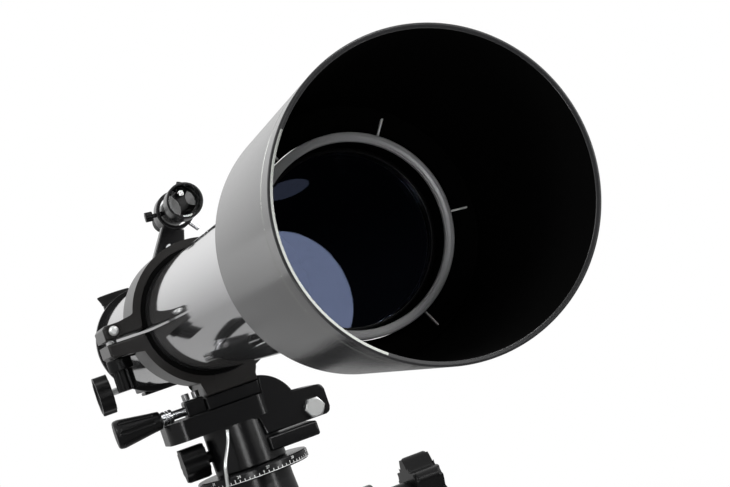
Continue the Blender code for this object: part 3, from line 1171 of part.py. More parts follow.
def make_eyepiece():
    """Eyepiece standing in the diagonal: chrome barrel, housing, eye lens and rubber eyecup."""
    eye = {"at": (0, EYE_AXIS_Y, 0), "parent": OPTICAL_AXIS}
    rest = DIAGONAL_TUBE_TOP + CLEAR
    lip = rest + EYEPIECE_LIP
    barrel_bore = PUSH_FIT_R - EYEPIECE_BARREL_WALL
    foot = DIAGONAL_TUBE_TOP - EYEPIECE_INSERT
    turned("eyepiece_barrel", [
        (PUSH_FIT_R + EYEPIECE_LIP_REACH, lip),
        (PUSH_FIT_R + EYEPIECE_LIP_REACH, rest),
        (PUSH_FIT_R, rest),
        (PUSH_FIT_R, foot),
        (barrel_bore, foot),
        (barrel_bore, lip),
    ], "chrome", MEDIUM_STEPS, **eye)
    base = lip + CLEAR
    spigot = barrel_bore - CLEAR
    top = DIAGONAL_TUBE_TOP + EYEPIECE_HEIGHT
    cup_foot = top - EYECUP_HEIGHT
    neck = EYEPIECE_WAIST_R - EYEPIECE_STEP
    lens_bore = EYE_LENS_R + CLEAR
    lens_seat = cup_foot + EYE_LENS_LIP
    turned("eyepiece_housing", [
        (neck, top - EYECUP_RIM),
        (neck, cup_foot),
        (EYEPIECE_WAIST_R, cup_foot),
        (EYEPIECE_WAIST_R, base + EYEPIECE_SHOULDER),
        (PUSH_FIT_R - EYEPIECE_STEP, base + EYEPIECE_STEP),
        (PUSH_FIT_R - EYEPIECE_STEP, base),
        (spigot, base),
        (spigot, foot + EYEPIECE_BARREL_WALL),
        (lens_bore + EYEPIECE_STEP, foot + EYEPIECE_BARREL_WALL),
        (lens_bore + EYEPIECE_STEP, cup_foot - EYE_LENS_LIP),
        (EYE_LENS_R - EYE_LENS_LIP, cup_foot),
        (EYE_LENS_R - EYE_LENS_LIP, lens_seat),
        (lens_bore, lens_seat),
        (lens_bore, top - EYECUP_RIM),
    ], "black_plastic", MEDIUM_STEPS, **eye)
    turned("eyepiece_lens", lens_profile(EYE_LENS_R, lens_seat + CLEAR, EYE_LENS_EDGE, 0, EYE_LENS_CURVE),
           "coated_glass", SMALL_STEPS, **eye)
    turned("eyecup", [
        (EYECUP_R, top),
        (EYECUP_R, top - EYECUP_RIM),
        (EYEPIECE_WAIST_R + EYECUP_ROOT, cup_foot + CLEAR),
        (neck + CLEAR, cup_foot + CLEAR),
        (neck + CLEAR, top - EYECUP_RIM),
        (EYECUP_R - EYECUP_RIM_WIDTH, top),
    ], "black_felt", MEDIUM_STEPS, **eye)


def make_finder():
    """Finder telescope in its bracket, with two thumb screws, a spring pin and two round nuts."""
    frame = empty("finder_frame", (0, 0, 0), (0, FINDER_TURN, 0), OPTICAL_AXIS)
    axis = empty("finder_axis", (0, 0, FINDER_OFFSET), ALONG_Z, frame)
    along = {"turn": ALONG_Y, "parent": axis}
    cell_end = FINDER_FRONT_Y + FINDER_CELL_LENGTH
    barrel_end = cell_end + FINDER_BARREL_LENGTH
    glass_y = FINDER_FRONT_Y + FINDER_GLASS_DEPTH
    glass_seat = glass_y + FINDER_GLASS_EDGE + CLEAR
    barrel_bore = FINDER_BARREL_R - FINDER_WALL
    turned("finder_tube", [
        (FINDER_BARREL_R, barrel_end),
        (FINDER_BARREL_R, cell_end),
        (FINDER_CELL_R, cell_end - FINDER_CELL_TAPER),
        (FINDER_CELL_R, FINDER_FRONT_Y + FINDER_CELL_EDGE),
        (FINDER_CELL_R - FINDER_CELL_EDGE, FINDER_FRONT_Y),
        (FINDER_GLASS_R + CLEAR, FINDER_FRONT_Y),
        (FINDER_GLASS_R + CLEAR, glass_seat),
        (barrel_bore, glass_seat),
        (barrel_bore, barrel_end),
    ], "black_enamel", MEDIUM_STEPS, **along)
    glass = lens_profile(FINDER_GLASS_R, glass_y, FINDER_GLASS_EDGE, FINDER_GLASS_CURVE, 0)
    turned("finder_objective", glass, "coated_glass", MEDIUM_STEPS, **along)
    eye_start = barrel_end + CLEAR
    eye_end = eye_start + FINDER_EYE_LENGTH
    turned("finder_eyepiece", [
        (FINDER_EYE_R - FINDER_EYE_EDGE, eye_end),
        (FINDER_EYE_R, eye_end - FINDER_EYE_EDGE),
        (FINDER_EYE_R, eye_start),
        (barrel_bore - CLEAR, eye_start),
        (barrel_bore - CLEAR, eye_start - FINDER_EYE_R),
        (FINDER_EYE_BORE, eye_start - FINDER_EYE_R),
        (FINDER_EYE_BORE, eye_end),
    ], "black_plastic", SMALL_STEPS, **along)

    upright = {"turn": (math.pi / 2, 0, 0), "parent": frame}
    foot_inner = TUBE_R + CLEAR
    foot_outer = foot_inner + FINDER_FOOT_HEIGHT
    spread = math.degrees(math.asin(FINDER_FOOT_WIDTH / 2 / foot_outer))
    outline = arc(0, 0, foot_outer, 90 + spread, 90 - spread, CORNER_STEPS)
    outline += arc(0, 0, foot_inner, 90 - spread, 90 + spread, CORNER_STEPS)
    foot_half = FINDER_FOOT_LENGTH / 2
    bracket = plate("finder_bracket", outline, -RING_Y - foot_half, foot_half - RING_Y, "black_enamel",
                    **upright)
    ring_bore = FINDER_BARREL_R + RING_BORE_GAP
    ring_r = ring_bore + RING_WALL
    stalk_top = FINDER_OFFSET - ring_bore - RING_WALL / 2
    stalk_foot = foot_outer - STALK_SINK
    stalk = [
        (-STALK_FOOT_WIDTH / 2, stalk_foot),
        (STALK_FOOT_WIDTH / 2, stalk_foot),
        (STALK_TOP_WIDTH / 2, stalk_top),
        (-STALK_TOP_WIDTH / 2, stalk_top),
    ]
    stalk_half = STALK_DEPTH / 2
    fuse(bracket, plate("finder_stalk", stalk, -RING_Y - stalk_half, stalk_half - RING_Y, None, **upright))
    fuse(bracket, ring("finder_ring", ring_bore, ring_r, RING_Y - RING_LENGTH / 2, RING_Y + RING_LENGTH / 2,
                       None, MEDIUM_STEPS, **along))
    tip = FINDER_BARREL_R + CLEAR
    for name, angle in FINDER_SCREW_ANGLES.items():
        spoke = empty(f"{name}_axis", (0, RING_Y, 0), (0, math.pi / 2 - angle, 0), axis)
        cut(bracket, rod(f"{name}_hole", FINDER_SCREW_R + CLEAR, 0, 2 * ring_r, None, HOLE_STEPS,
                         parent=spoke))
        thumb_screw(name, FINDER_SCREW_R, tip, ring_r + FINDER_SCREW_REACH, FINDER_SCREW_KNOB_R,
                    FINDER_SCREW_KNOB_LENGTH, parent=spoke)
    spoke = empty("finder_pin_axis", (0, RING_Y, 0), (0, math.pi / 2 - FINDER_PIN_ANGLE, 0), axis)
    cut(bracket, rod("finder_pin_hole", FINDER_PIN_R + CLEAR, 0, 2 * ring_r, None, HOLE_STEPS, parent=spoke))
    rod("finder_spring_pin", FINDER_PIN_R, tip, ring_r + FINDER_PIN_REACH, "chrome", TINY_STEPS,
        FINDER_PIN_EDGE, parent=spoke)
    base = stalk_half + CLEAR
    dome = [(0, base + NUT_HEIGHT)]
    for step in range(1, DOME_STEPS + 1):
        angle = math.pi / 2 * step / DOME_STEPS
        dome.append((NUT_R * math.sin(angle), base + NUT_SKIRT + (NUT_HEIGHT - NUT_SKIRT) * math.cos(angle)))
    dome += [(NUT_R, base), (0, base)]
    for index, turn in ((1, math.pi / 2), (2, -math.pi / 2)):
        turned(f"bracket_nut_{index}", dome, "chrome", TINY_STEPS, at=(0, RING_Y, NUT_OFFSET),
               turn=(turn, 0, 0), parent=frame)


make_base()
make_pillar()
make_head()
make_slow_motion()
make_cradle()
make_tube()
make_objective()
make_focuser()
make_diagonal()
make_eyepiece()
make_finder()
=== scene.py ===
"""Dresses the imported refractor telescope: finishes, rounded meshes, studio and camera.

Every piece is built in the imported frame: metres, +Z up, the optical axis along Y with the objective at -Y.
"""
from __future__ import annotations

import json
import logging
import math
from dataclasses import dataclass, field, replace
from enum import Enum
from typing import Any, Callable, ClassVar, Sequence

import bmesh
import bpy
from mathutils import Euler, Matrix, Vector

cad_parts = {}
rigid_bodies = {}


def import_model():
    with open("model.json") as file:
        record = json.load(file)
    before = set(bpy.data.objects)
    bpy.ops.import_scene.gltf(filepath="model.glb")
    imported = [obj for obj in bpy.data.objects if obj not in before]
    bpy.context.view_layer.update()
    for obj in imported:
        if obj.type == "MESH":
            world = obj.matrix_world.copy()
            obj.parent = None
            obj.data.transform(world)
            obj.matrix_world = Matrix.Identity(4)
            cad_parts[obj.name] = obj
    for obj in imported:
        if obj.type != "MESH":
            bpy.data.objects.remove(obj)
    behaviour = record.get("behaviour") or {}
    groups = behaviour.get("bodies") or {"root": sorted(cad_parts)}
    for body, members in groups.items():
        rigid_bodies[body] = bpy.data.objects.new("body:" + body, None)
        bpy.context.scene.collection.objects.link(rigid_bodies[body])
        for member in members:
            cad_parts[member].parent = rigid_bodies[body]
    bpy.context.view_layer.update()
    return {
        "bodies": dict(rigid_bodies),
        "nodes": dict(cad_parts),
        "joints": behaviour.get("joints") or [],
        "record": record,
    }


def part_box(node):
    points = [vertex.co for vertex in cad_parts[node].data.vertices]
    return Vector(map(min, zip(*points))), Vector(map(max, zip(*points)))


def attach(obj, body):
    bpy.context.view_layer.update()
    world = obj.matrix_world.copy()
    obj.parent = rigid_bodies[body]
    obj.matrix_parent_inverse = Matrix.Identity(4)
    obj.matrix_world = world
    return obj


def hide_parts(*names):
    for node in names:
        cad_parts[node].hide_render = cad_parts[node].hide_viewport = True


LOG = logging.getLogger("telescope")
MM = 0.001
WHITE = (1.0, 1.0, 1.0, 1.0)
# A bolt head's chamfer runs from the first share of its radius to the second, just past its corners.
CHAMFER_SHARES = (0.8, 1.02)

Point = tuple[float, ...]
Outline = list[tuple[float, float]]
Piece = bpy.types.Object
Node = bpy.types.Node
Socket = bpy.types.NodeSocket
Tree = bpy.types.NodeTree


class Edge:
    """Radii of turned and moulded corners, from a broken edge to a soft shoulder."""

    HAIR = 0.2 * MM
    SHARP = 0.3 * MM
    CRISP = 0.4 * MM
    BROKEN = 0.5 * MM
    EASED = 0.6 * MM
    SOFT = 0.8 * MM
    ROUND = 1.0 * MM
    FULL = 1.2 * MM
    BROAD = 1.5 * MM
    WIDE = 2.0 * MM


class Facets:
    """Facets round a full turn, named after a piece of the size they suit."""

    FLUTE = 24
    SCREW = 32
    PIN = 40
    BOLT = 48
    KNOB = 64
    EYEPIECE = 80
    COLUMN = 96
    CELL = 128
    CIRCLE = 144
    TUBE = 160
    SHIELD = 192


class Facing(Enum):
    """Which way a piece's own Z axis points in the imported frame, as Euler angles."""

    UP = (0.0, 0.0, 0.0)
    RIGHT = (0.0, math.pi / 2, 0.0)
    BACK = (-math.pi / 2, 0.0, 0.0)
    SECTION = (math.pi / 2, 0.0, 0.0)
    SIDE = (math.pi / 2, 0.0, math.pi / 2)

    def at(self, x: float = 0.0, y: float = 0.0, z: float = 0.0) -> Matrix:
        """Gives the matrix that carries a piece from its own axes to a point of the frame."""
        return Matrix.Translation((x, y, z)) @ Euler(self.value).to_matrix().to_4x4()


@dataclass(frozen=True)
class Extent:
    """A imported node's box at rest."""

    low: Vector
    high: Vector

    @classmethod
    def of(cls, node: str) -> Extent:
        """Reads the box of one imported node."""
        low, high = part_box(node)
        return cls(Vector(low), Vector(high))

    @property
    def size(self) -> Vector:
        """Edge lengths of the box."""
        return self.high - self.low

    @property
    def middle(self) -> Vector:
        """Centre of the box."""
        return (self.high + self.low) / 2

    @property
    def radius(self) -> float:
        """Half of the box's width, which is a turned piece's radius where its axis isn't X."""
        return self.size.x / 2


def linear(hex_colour: str) -> tuple[float, float, float, float]:
    """Turns an sRGB hex colour into linear light.

    Args:
        hex_colour: A colour such as "#E6E6E4".

    Returns:
        Red, green, blue and an alpha of 1.
    """
    def channel(value: int) -> float:
        """Turns one channel into linear light."""
        share = value / 255
        return share / 12.92 if share <= 0.04045 else ((share + 0.055) / 1.055) ** 2.4

    digits = hex_colour.lstrip("#")
    red, green, blue = (channel(int(digits[i:i + 2], 16)) for i in (0, 2, 4))
    return red, green, blue, 1.0


def add_node(tree: Tree, kind: str, settings: dict[str, Any] | None = None,
             inputs: dict[Any, Any] | None = None) -> Node:
    """Adds a node with its settings, and links or sets its inputs.

    Args:
        tree: The node tree.
        kind: The node's type name.
        settings: Attributes to set on the node.
        inputs: Socket name or index to a value or to an output socket.

    Returns:
        The node.
    """
    node = tree.nodes.new(kind)
    for key, value in (settings or {}).items():
        setattr(node, key, value)
    for key, value in (inputs or {}).items():
        if isinstance(value, Socket):
            tree.links.new(value, node.inputs[key])
        else:
            node.inputs[key].default_value = value
    return node


@dataclass(frozen=True)
class Finish:
    """A surface: what it is made of and how it was made, as a shader with a fine pattern.

    The pattern is a noise of a real size. It varies the colour and the gloss a little and gives the bump.
    """

    name: str
    colour: str
    shade: str
    roughness: float
    slot: str
    metallic: float = 0.0
    ior: float = 1.5
    specular: float = 0.5
    specular_tint: str = "#FFFFFF"
    transmission: float = 0.0
    grain_mm: float = 0.6
    stretch: tuple[float, float, float] = (1.0, 1.0, 1.0)
    bump_mm: float = 0.01
    gloss_change: float = 0.06
    wear: str = ""
    wear_width_mm: float = 0.5

    # The broad pattern is this many times the grain.
    BROAD_FACTOR: ClassVar[float] = 40.0
    # Octaves of the fine and of the broad noise, and how strong each finer octave is.
    DETAIL: ClassVar[tuple[float, float]] = (3.0, 2.0)
    OCTAVE_SHARE: ClassVar[float] = 0.55
    # Noise values between which the gloss changes.
    NOISE_RANGE: ClassVar[tuple[float, float]] = (0.3, 0.7)
    # How far the normal bends at the start and at the middle of a worn edge, as a cosine.
    WORN_BEND: ClassVar[tuple[float, float]] = (0.98, 0.8)
    WORN_SHARE: ClassVar[float] = 0.8
    WORN_SAMPLES: ClassVar[int] = 4

    def material(self) -> bpy.types.Material:
        """Gives the finish's material, made the first time it is asked for."""
        made = bpy.data.materials.get(self.name)
        return made if made else self._build()

    def _build(self) -> bpy.types.Material:
        """Builds the shader: noise into colour, roughness and bump, and worn edges where it has them.

        Returns:
            The material.
        """
        material = bpy.data.materials.new(self.name)
        material.use_nodes = True
        tree = material.node_tree
        shader = tree.nodes["Principled BSDF"]
        for socket, value in (
            ("Metallic", self.metallic), ("Specular IOR Level", self.specular),
            ("Specular Tint", linear(self.specular_tint)), ("Transmission Weight", self.transmission),
        ):
            shader.inputs[socket].default_value = value
        if self.metallic == 0.0:
            shader.inputs["IOR"].default_value = self.ior
        place = add_node(tree, "ShaderNodeTexCoord")
        turned = add_node(tree, "ShaderNodeMapping",
                          inputs={0: place.outputs["Object"], "Scale": self.stretch})
        noise = add_node(tree, "ShaderNodeTexNoise", inputs={
            "Vector": turned.outputs[0], "Scale": 1 / (self.grain_mm * MM), "Detail": self.DETAIL[0],
            "Roughness": self.OCTAVE_SHARE})
        broad_scale = 1 / (self.BROAD_FACTOR * self.grain_mm * MM)
        broad = add_node(tree, "ShaderNodeTexNoise", inputs={
            "Vector": turned.outputs[0], "Scale": broad_scale, "Detail": self.DETAIL[1]})
        ramp = add_node(tree, "ShaderNodeMix", {"data_type": "RGBA"}, {
            0: broad.outputs["Fac"], 6: linear(self.colour), 7: linear(self.shade)})
        colour = ramp.outputs[2]
        if self.wear:
            colour = self._worn(tree, colour, noise.outputs["Fac"])
        tree.links.new(colour, shader.inputs["Base Color"])
        least, most = self.NOISE_RANGE
        gloss = add_node(tree, "ShaderNodeMapRange", inputs={
            "Value": noise.outputs["Fac"], "From Min": least, "From Max": most,
            "To Min": max(0.0, self.roughness - self.gloss_change),
            "To Max": self.roughness + self.gloss_change})
        tree.links.new(gloss.outputs[0], shader.inputs["Roughness"])
        if self.bump_mm > 0:
            bump = add_node(tree, "ShaderNodeBump", inputs={
                "Height": noise.outputs["Fac"], "Strength": 1.0, "Distance": self.bump_mm * MM})
            tree.links.new(bump.outputs[0], shader.inputs["Normal"])
        return material

    def _worn(self, tree: Tree, colour: Socket, noise: Socket) -> Socket:
        """Lightens edges, where handling rubs a finish.

        Args:
            tree: The material's tree.
            colour: The colour so far.
            noise: The pattern that breaks up the worn line.

        Returns:
            The colour with worn edges.
        """
        bevel = add_node(tree, "ShaderNodeBevel", {"samples": self.WORN_SAMPLES},
                         {"Radius": self.wear_width_mm * MM})
        flat = add_node(tree, "ShaderNodeNewGeometry")
        bend = add_node(tree, "ShaderNodeVectorMath", {"operation": "DOT_PRODUCT"}, {
            0: bevel.outputs[0], 1: flat.outputs["Normal"]})
        start, middle = self.WORN_BEND
        edge = add_node(tree, "ShaderNodeMapRange", inputs={
            "Value": bend.outputs["Value"], "From Min": start, "From Max": middle, "To Min": 0.0,
            "To Max": self.WORN_SHARE})
        broken = add_node(tree, "ShaderNodeMath", {"operation": "MULTIPLY"}, {0: edge.outputs[0], 1: noise})
        mix = add_node(tree, "ShaderNodeMix", {"data_type": "RGBA"}, {
            0: broken.outputs[0], 6: colour, 7: linear(self.wear)})
        return mix.outputs[2]


class Look:
    """The telescope's surfaces. Most start from the real material and how it was made; a few are painted
    lighter to stand in for highlights and light.
    """

    # White pearl lacquer on a drawn tube: silvery and mirror-like, with a faint orange peel 3 mm across.
    WHITE_ENAMEL = Finish("gloss_pearl_lacquer", "#C0C0C2", "#BBBBBD", 0.05, "white_enamel", metallic=0.95,
                          grain_mm=3.0, bump_mm=0.0002, gloss_change=0.02)
    # Injection-moulded ABS: nearly black, semi-gloss, so it looks grey where it is seen at a shallow angle.
    DEW_PLASTIC = Finish("semi_gloss_moulded_abs", "#262627", "#202021", 0.17, "dark_plastic", specular=0.33,
                         grain_mm=0.5, bump_mm=0.0015, gloss_change=0.04, wear="#6A6A6A")
    # The same plastic, painted light grey and metallic as a painted highlight on the lip groove and on a
    # stretch of the rim's inner edge.
    BRIGHT_EDGE = Finish("painted_highlight_edge", "#9A9C98", "#929490", 0.26, "dark_plastic", metallic=0.8,
                         grain_mm=3.0, bump_mm=0.0002, gloss_change=0.02)
    # Stove enamel on an aluminium casting: satin black with a slight skin.
    CASTING = Finish("satin_black_stove_enamel", "#0E0E0F", "#0A0A0B", 0.24, "black_casting", specular=0.3,
                     grain_mm=0.8, bump_mm=0.0015, gloss_change=0.03, wear="#2C2C2C")
    # The same black enamel on the cradle, painted a little lighter and warmer than the casting's to stand in
    # for the light on its front faces.
    CRADLE = Finish("satin_black_enamel_painted_lighter", "#1A1817", "#151413", 0.3, "black_casting", specular=0.3,
                    grain_mm=0.8, bump_mm=0.0015, gloss_change=0.03)
    # Moulded ABS with a fine spark-eroded texture.
    PLASTIC = Finish("textured_black_abs", "#0D0D0E", "#090909", 0.3, "black_plastic", specular=0.18,
                     grain_mm=0.4, bump_mm=0.002, gloss_change=0.04, wear="#242424")
    # Pressed wool felt: no gloss, fibres a third of a millimetre wide.
    FELT = Finish("pressed_wool_felt", "#060606", "#030303", 0.95, "black_felt", specular=0.05,
                  grain_mm=0.35, bump_mm=0.12)
    # Moulded rubber: dull and slightly dusty.
    RUBBER = Finish("moulded_rubber", "#121212", "#0C0C0C", 0.7, "black_rubber", specular=0.3,
                    grain_mm=0.5, bump_mm=0.02)
    # Flat black paint that keeps stray light out.
    FLAT_BLACK = Finish("flat_black_paint", "#040404", "#030303", 0.9, "matt_black", specular=0.04,
                        grain_mm=0.5, bump_mm=0.02)
    # Lathe-turned aluminium with a satin anodised skin.
    TURNED = Finish("satin_turned_aluminium", "#9C9C9D", "#8E8E90", 0.33, "satin_aluminium", metallic=1.0,
                    grain_mm=0.5, stretch=(0.2, 1.0, 0.2), bump_mm=0.004)
    # Bead-blasted, anodised aluminium of the lens ring: satin grey.
    RING_GREY = Finish("grey_anodised_aluminium", "#B4B4B5", "#AAAAAC", 0.45, "satin_aluminium",
                       metallic=0.3, grain_mm=0.5, stretch=(0.2, 1.0, 0.2), bump_mm=0.004)
    # Rib tops of the dew shield's back wall, painted near white: painted highlights where lamp light catches
    # the ribs.
    RIB_PALE = Finish("painted_rib_highlights", "#F0F0F0", "#E4E4E4", 0.5, "dark_plastic",
                      grain_mm=0.4, bump_mm=0.004)
    # Zinc-plated steel fastener: cool silver, a little cloudy.
    ZINC = Finish("zinc_plated_steel", "#DADBDA", "#C4C6C5", 0.36, "zinc_steel", metallic=1.0,
                  grain_mm=0.7, bump_mm=0.002, gloss_change=0.04)
    # Decorative chrome plate.
    CHROME = Finish("bright_chrome_plate", "#DCDDDF", "#D2D3D5", 0.16, "chrome", metallic=1.0,
                    grain_mm=1.0, bump_mm=0.001, gloss_change=0.03)
    # Plated drawtube.
    DRAWTUBE = Finish("plated_drawn_tube", "#CFD0D2", "#C4C5C7", 0.12, "chrome_aluminium", metallic=1.0,
                      grain_mm=0.8, stretch=(1.0, 0.1, 1.0), bump_mm=0.002, gloss_change=0.04)
    # Crown and flint glass with a blue magnesium fluoride coating.
    GLASS = Finish("coated_crown_glass", "#FFFFFF", "#F6F9FF", 0.0, "coated_glass", transmission=1.0,
                   ior=1.52, specular_tint="#C0D0FF", grain_mm=5.0, bump_mm=0.0, gloss_change=0.0)
    # The objective's outer faces, with a better coating: almost no reflection.
    GLASS_OUTER = replace(GLASS, name="multicoated_outer_glass", specular_tint="#181A20")
    # Uncoated crown glass of the finder and the eye lens.
    PLAIN_GLASS = replace(GLASS, name="plain_crown_glass", shade="#FAFAFA", specular_tint="#FFFFFF")
    # White marking paint, printed.
    MARKING = Finish("white_marking_paint", "#DADADA", "#C8C8C8", 0.5, "white_enamel",
                     grain_mm=0.3, bump_mm=0.005)


class Form:
    """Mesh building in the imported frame. Every object it gives sits at the origin."""

    SHARP = math.radians(32)
    WELD = 0.001 * MM
    # Greatest share of a side that the rounding of one corner may take.
    CORNER_SHARE = 0.48

    @staticmethod
    def link(name: str, data: bpy.types.ID) -> Piece:
        """Puts a mesh or other data into the scene as an object.

        Args:
            name: The object's name.
            data: What the object shows.

        Returns:
            The object.
        """
        made = bpy.data.objects.new(name, data)
        bpy.context.scene.collection.objects.link(made)
        return made

    @classmethod
    def new(cls, name: str, shape: bmesh.types.BMesh, place: Matrix) -> Piece:
        """Turns a bmesh into an object with its place in its mesh.

        Args:
            name: The piece's name.
            shape: The mesh to take. It is freed.
            place: Its place in the frame.

        Returns:
            The object.
        """
        bmesh.ops.remove_doubles(shape, verts=shape.verts, dist=cls.WELD)
        bmesh.ops.recalc_face_normals(shape, faces=shape.faces)
        bmesh.ops.transform(shape, matrix=place, verts=shape.verts)
        mesh = bpy.data.meshes.new(name)
        shape.to_mesh(mesh)
        shape.free()
        made = cls.link(name, mesh)
        cls.smooth(made)
        return made

    @classmethod
    def smooth(cls, piece: Piece) -> None:
        """Shades a piece smooth, apart from its sharp edges."""
        piece.data.shade_smooth()
        piece.data.set_sharp_from_angle(angle=cls.SHARP)

    @classmethod
    def softened(cls, profile: Sequence[Point], closed: bool, steps: int = 4) -> Outline:
        """Rounds the corners of a profile.

        Args:
            profile: Points of two numbers, with a third for a corner's radius.
            closed: Whether the last point joins the first.
            steps: Segments of each rounded corner.

        Returns:
            The rounded outline.
        """
        points = [Vector(point[:2]) for point in profile]
        radii = [point[2] if len(point) > 2 else 0.0 for point in profile]
        result: Outline = []
        count = len(points)
        for index, (corner, radius) in enumerate(zip(points, radii)):
            inner = closed or 0 < index < count - 1
            if radius <= 0 or not inner:
                result.append((corner.x, corner.y))
                continue
            before = points[index - 1] - corner
            after = points[(index + 1) % count] - corner
            turn = before.angle(after)
            room = cls.CORNER_SHARE * min(before.length, after.length)
            reach = min(radius / math.tan(turn / 2), room)
            start = corner + before.normalized() * reach
            end = corner + after.normalized() * reach
            for step in range(steps + 1):
                share = step / steps
                bent = start * (1 - share) ** 2 + corner * (2 * share * (1 - share)) + end * share ** 2
                result.append((bent.x, bent.y))
        return result

    @classmethod
    def lathe(cls, name: str, profile: Sequence[Point], place: Matrix, sides: int) -> Piece:
        """Turns a profile of radius and height about the piece's own Z axis.

        Args:
            name: The piece's name.
            profile: Radius, height and, where a corner is rounded, its radius.
            place: Its place in the frame.
            sides: Facets round a full turn.

        Returns:
            The turned object.
        """
        solid = profile[0][0] == 0.0
        outline = cls.softened(profile, not solid)
        shape = bmesh.new()
        rings = []
        for radius, height in outline:
            if radius == 0.0:
                rings.append([shape.verts.new((0, 0, height))] * sides)
                continue
            ring = []
            for i in range(sides):
                angle = 2 * math.pi * i / sides
                ring.append(shape.verts.new((radius * math.cos(angle), radius * math.sin(angle), height)))
            rings.append(ring)
        pairs = list(zip(rings, rings[1:]))
        if not solid:
            pairs.append((rings[-1], rings[0]))
        for upper, lower in pairs:
            for i in range(sides):
                j = (i + 1) % sides
                corners = dict.fromkeys((upper[i], upper[j], lower[j], lower[i]))
                if len(corners) > 2:
                    shape.faces.new(corners)
        return cls.new(name, shape, place)

    @classmethod
    def rod(cls, name: str, radius: float, low: float, high: float, place: Matrix, sides: int,
            edges: tuple[float, float] = (0.0, 0.0)) -> Piece:
        """Makes a solid round bar along its own Z axis, with corner radii for its low and high edges."""
        profile = [(0.0, high), (radius, high, edges[1]), (radius, low, edges[0]), (0.0, low)]
        return cls.lathe(name, profile, place, sides)

    @classmethod
    def sleeve(cls, name: str, radii: tuple[float, float], low: float, high: float, place: Matrix,
               sides: int, edges: tuple[float, float] = (0.0, 0.0)) -> Piece:
        """Makes a round tube along its own Z axis.

        Args:
            name: The piece's name.
            radii: Radii of its outside and its bore.
            low: Where it starts.
            high: Where it ends.
            place: Its place in the frame.
            sides: Facets round a full turn.
            edges: Corner radii of its outside and its bore.

        Returns:
            The tube.
        """
        (outer, bore), (rim, mouth) = radii, edges
        profile = [(outer, high, rim), (outer, low, rim), (bore, low, mouth), (bore, high, mouth)]
        return cls.lathe(name, profile, place, sides)

    @classmethod
    def bore(cls, radius: float, low: float, high: float, place: Matrix) -> Piece:
        """Makes a plain cutter for a round hole along the piece's own Z axis."""
        return cls.rod("bore", radius, low, high, place, Facets.BOLT)

    @staticmethod
    def round_off(shape: bmesh.types.BMesh, edges: list[bmesh.types.BMEdge], radius: float,
                  segments: int = 3) -> None:
        """Rounds edges of a mesh by a radius."""
        bmesh.ops.bevel(shape, geom=edges, offset=radius, segments=segments, profile=0.5, affect="EDGES")

    @classmethod
    def prism(cls, name: str, outline: Outline, low: float, high: float, place: Matrix, edge: float = 0.0,
              segments: int = 3) -> Piece:
        """Extrudes an outline along the piece's own Z axis and rounds its rims.

        Args:
            name: The piece's name.
            outline: The flat outline.
            low: Where the extrusion starts.
            high: Where it ends.
            place: Its place in the frame.
            edge: Radius of the rounded rims.
            segments: Segments of the rounding.

        Returns:
            The extruded object.
        """
        shape = bmesh.new()
        floor = [shape.verts.new((x, y, low)) for x, y in outline]
        roof = [shape.verts.new((x, y, high)) for x, y in outline]
        caps = [shape.faces.new(reversed(floor)), shape.faces.new(roof)]
        for i in range(len(outline)):
            j = (i + 1) % len(outline)
            shape.faces.new((floor[i], floor[j], roof[j], roof[i]))
        if edge > 0:
            rims = list({rim for cap in caps for rim in cap.edges})
            cls.round_off(shape, rims, edge, segments)
        return cls.new(name, shape, place)

    @classmethod
    def block(cls, name: str, low: Sequence[float], high: Sequence[float], edge: float = 0.0) -> Piece:
        """Makes a box between two corners with rounded edges.

        Args:
            name: The piece's name.
            low: Lowest corner.
            high: Highest corner.
            edge: Radius of its edges.

        Returns:
            The box.
        """
        middle = (Vector(low) + Vector(high)) / 2
        size = Vector(high) - Vector(low)
        shape = bmesh.new()
        bmesh.ops.create_cube(shape, size=1, matrix=Matrix.Translation(middle) @ Matrix.Diagonal((*size, 1)))
        if edge > 0:
            cls.round_off(shape, list(shape.edges), edge)
        return cls.new(name, shape, Matrix.Identity(4))

    @classmethod
    def combine(cls, piece: Piece, others: Sequence[Piece], operation: str) -> Piece:
        """Combines shapes with a piece and removes them.

        Args:
            piece: The piece that is kept.
            others: The shapes.
            operation: UNION, DIFFERENCE or INTERSECT.

        Returns:
            The piece, with a plain mesh.
        """
        for other in others:
            modifier = piece.modifiers.new(operation.lower(), "BOOLEAN")
            modifier.operation = operation
            modifier.object = other
        cls.bake(piece)
        for other in others:
            bpy.data.objects.remove(other)
        return piece

    @classmethod
    def join(cls, piece: Piece, *others: Piece) -> Piece:
        """Joins shapes to a piece."""
        return cls.combine(piece, others, "UNION")

    @classmethod
    def cut(cls, piece: Piece, *others: Piece) -> Piece:
        """Cuts shapes out of a piece."""
        return cls.combine(piece, others, "DIFFERENCE")

    @staticmethod
    def evaluated(piece: Piece) -> bpy.types.Mesh:
        """Gives a piece's mesh as its modifiers make it."""
        graph = bpy.context.evaluated_depsgraph_get()
        return bpy.data.meshes.new_from_object(piece.evaluated_get(graph))

    @classmethod
    def bake(cls, piece: Piece) -> None:
        """Replaces a piece's mesh by its evaluated one and drops its modifiers.

        Args:
            piece: The piece.
        """
        mesh = cls.evaluated(piece)
        piece.modifiers.clear()
        piece.data = mesh
        cls.smooth(piece)

    @classmethod
    def flatten(cls, piece: Piece) -> None:
        """Weights a piece's normals by face size, so that wide faces look flat and only their rims bend.

        Args:
            piece: The piece.
        """
        modifier = piece.modifiers.new("flat_faces", "WEIGHTED_NORMAL")
        modifier.keep_sharp = True
        piece.data = cls.evaluated(piece)
        piece.modifiers.clear()


def arc(x: float, y: float, radius: float, start: float, end: float, steps: int) -> Outline:
    """Gives points along an arc.

    Args:
        x: Centre's first coordinate.
        y: Centre's second coordinate.
        radius: The arc's radius.
        start: First angle in degrees.
        end: Last angle in degrees.
        steps: Segments of the arc.

    Returns:
        The points, both ends included.
    """
    angles = (math.radians(start + (end - start) * step / steps) for step in range(steps + 1))
    return [(x + radius * math.cos(a), y + radius * math.sin(a)) for a in angles]


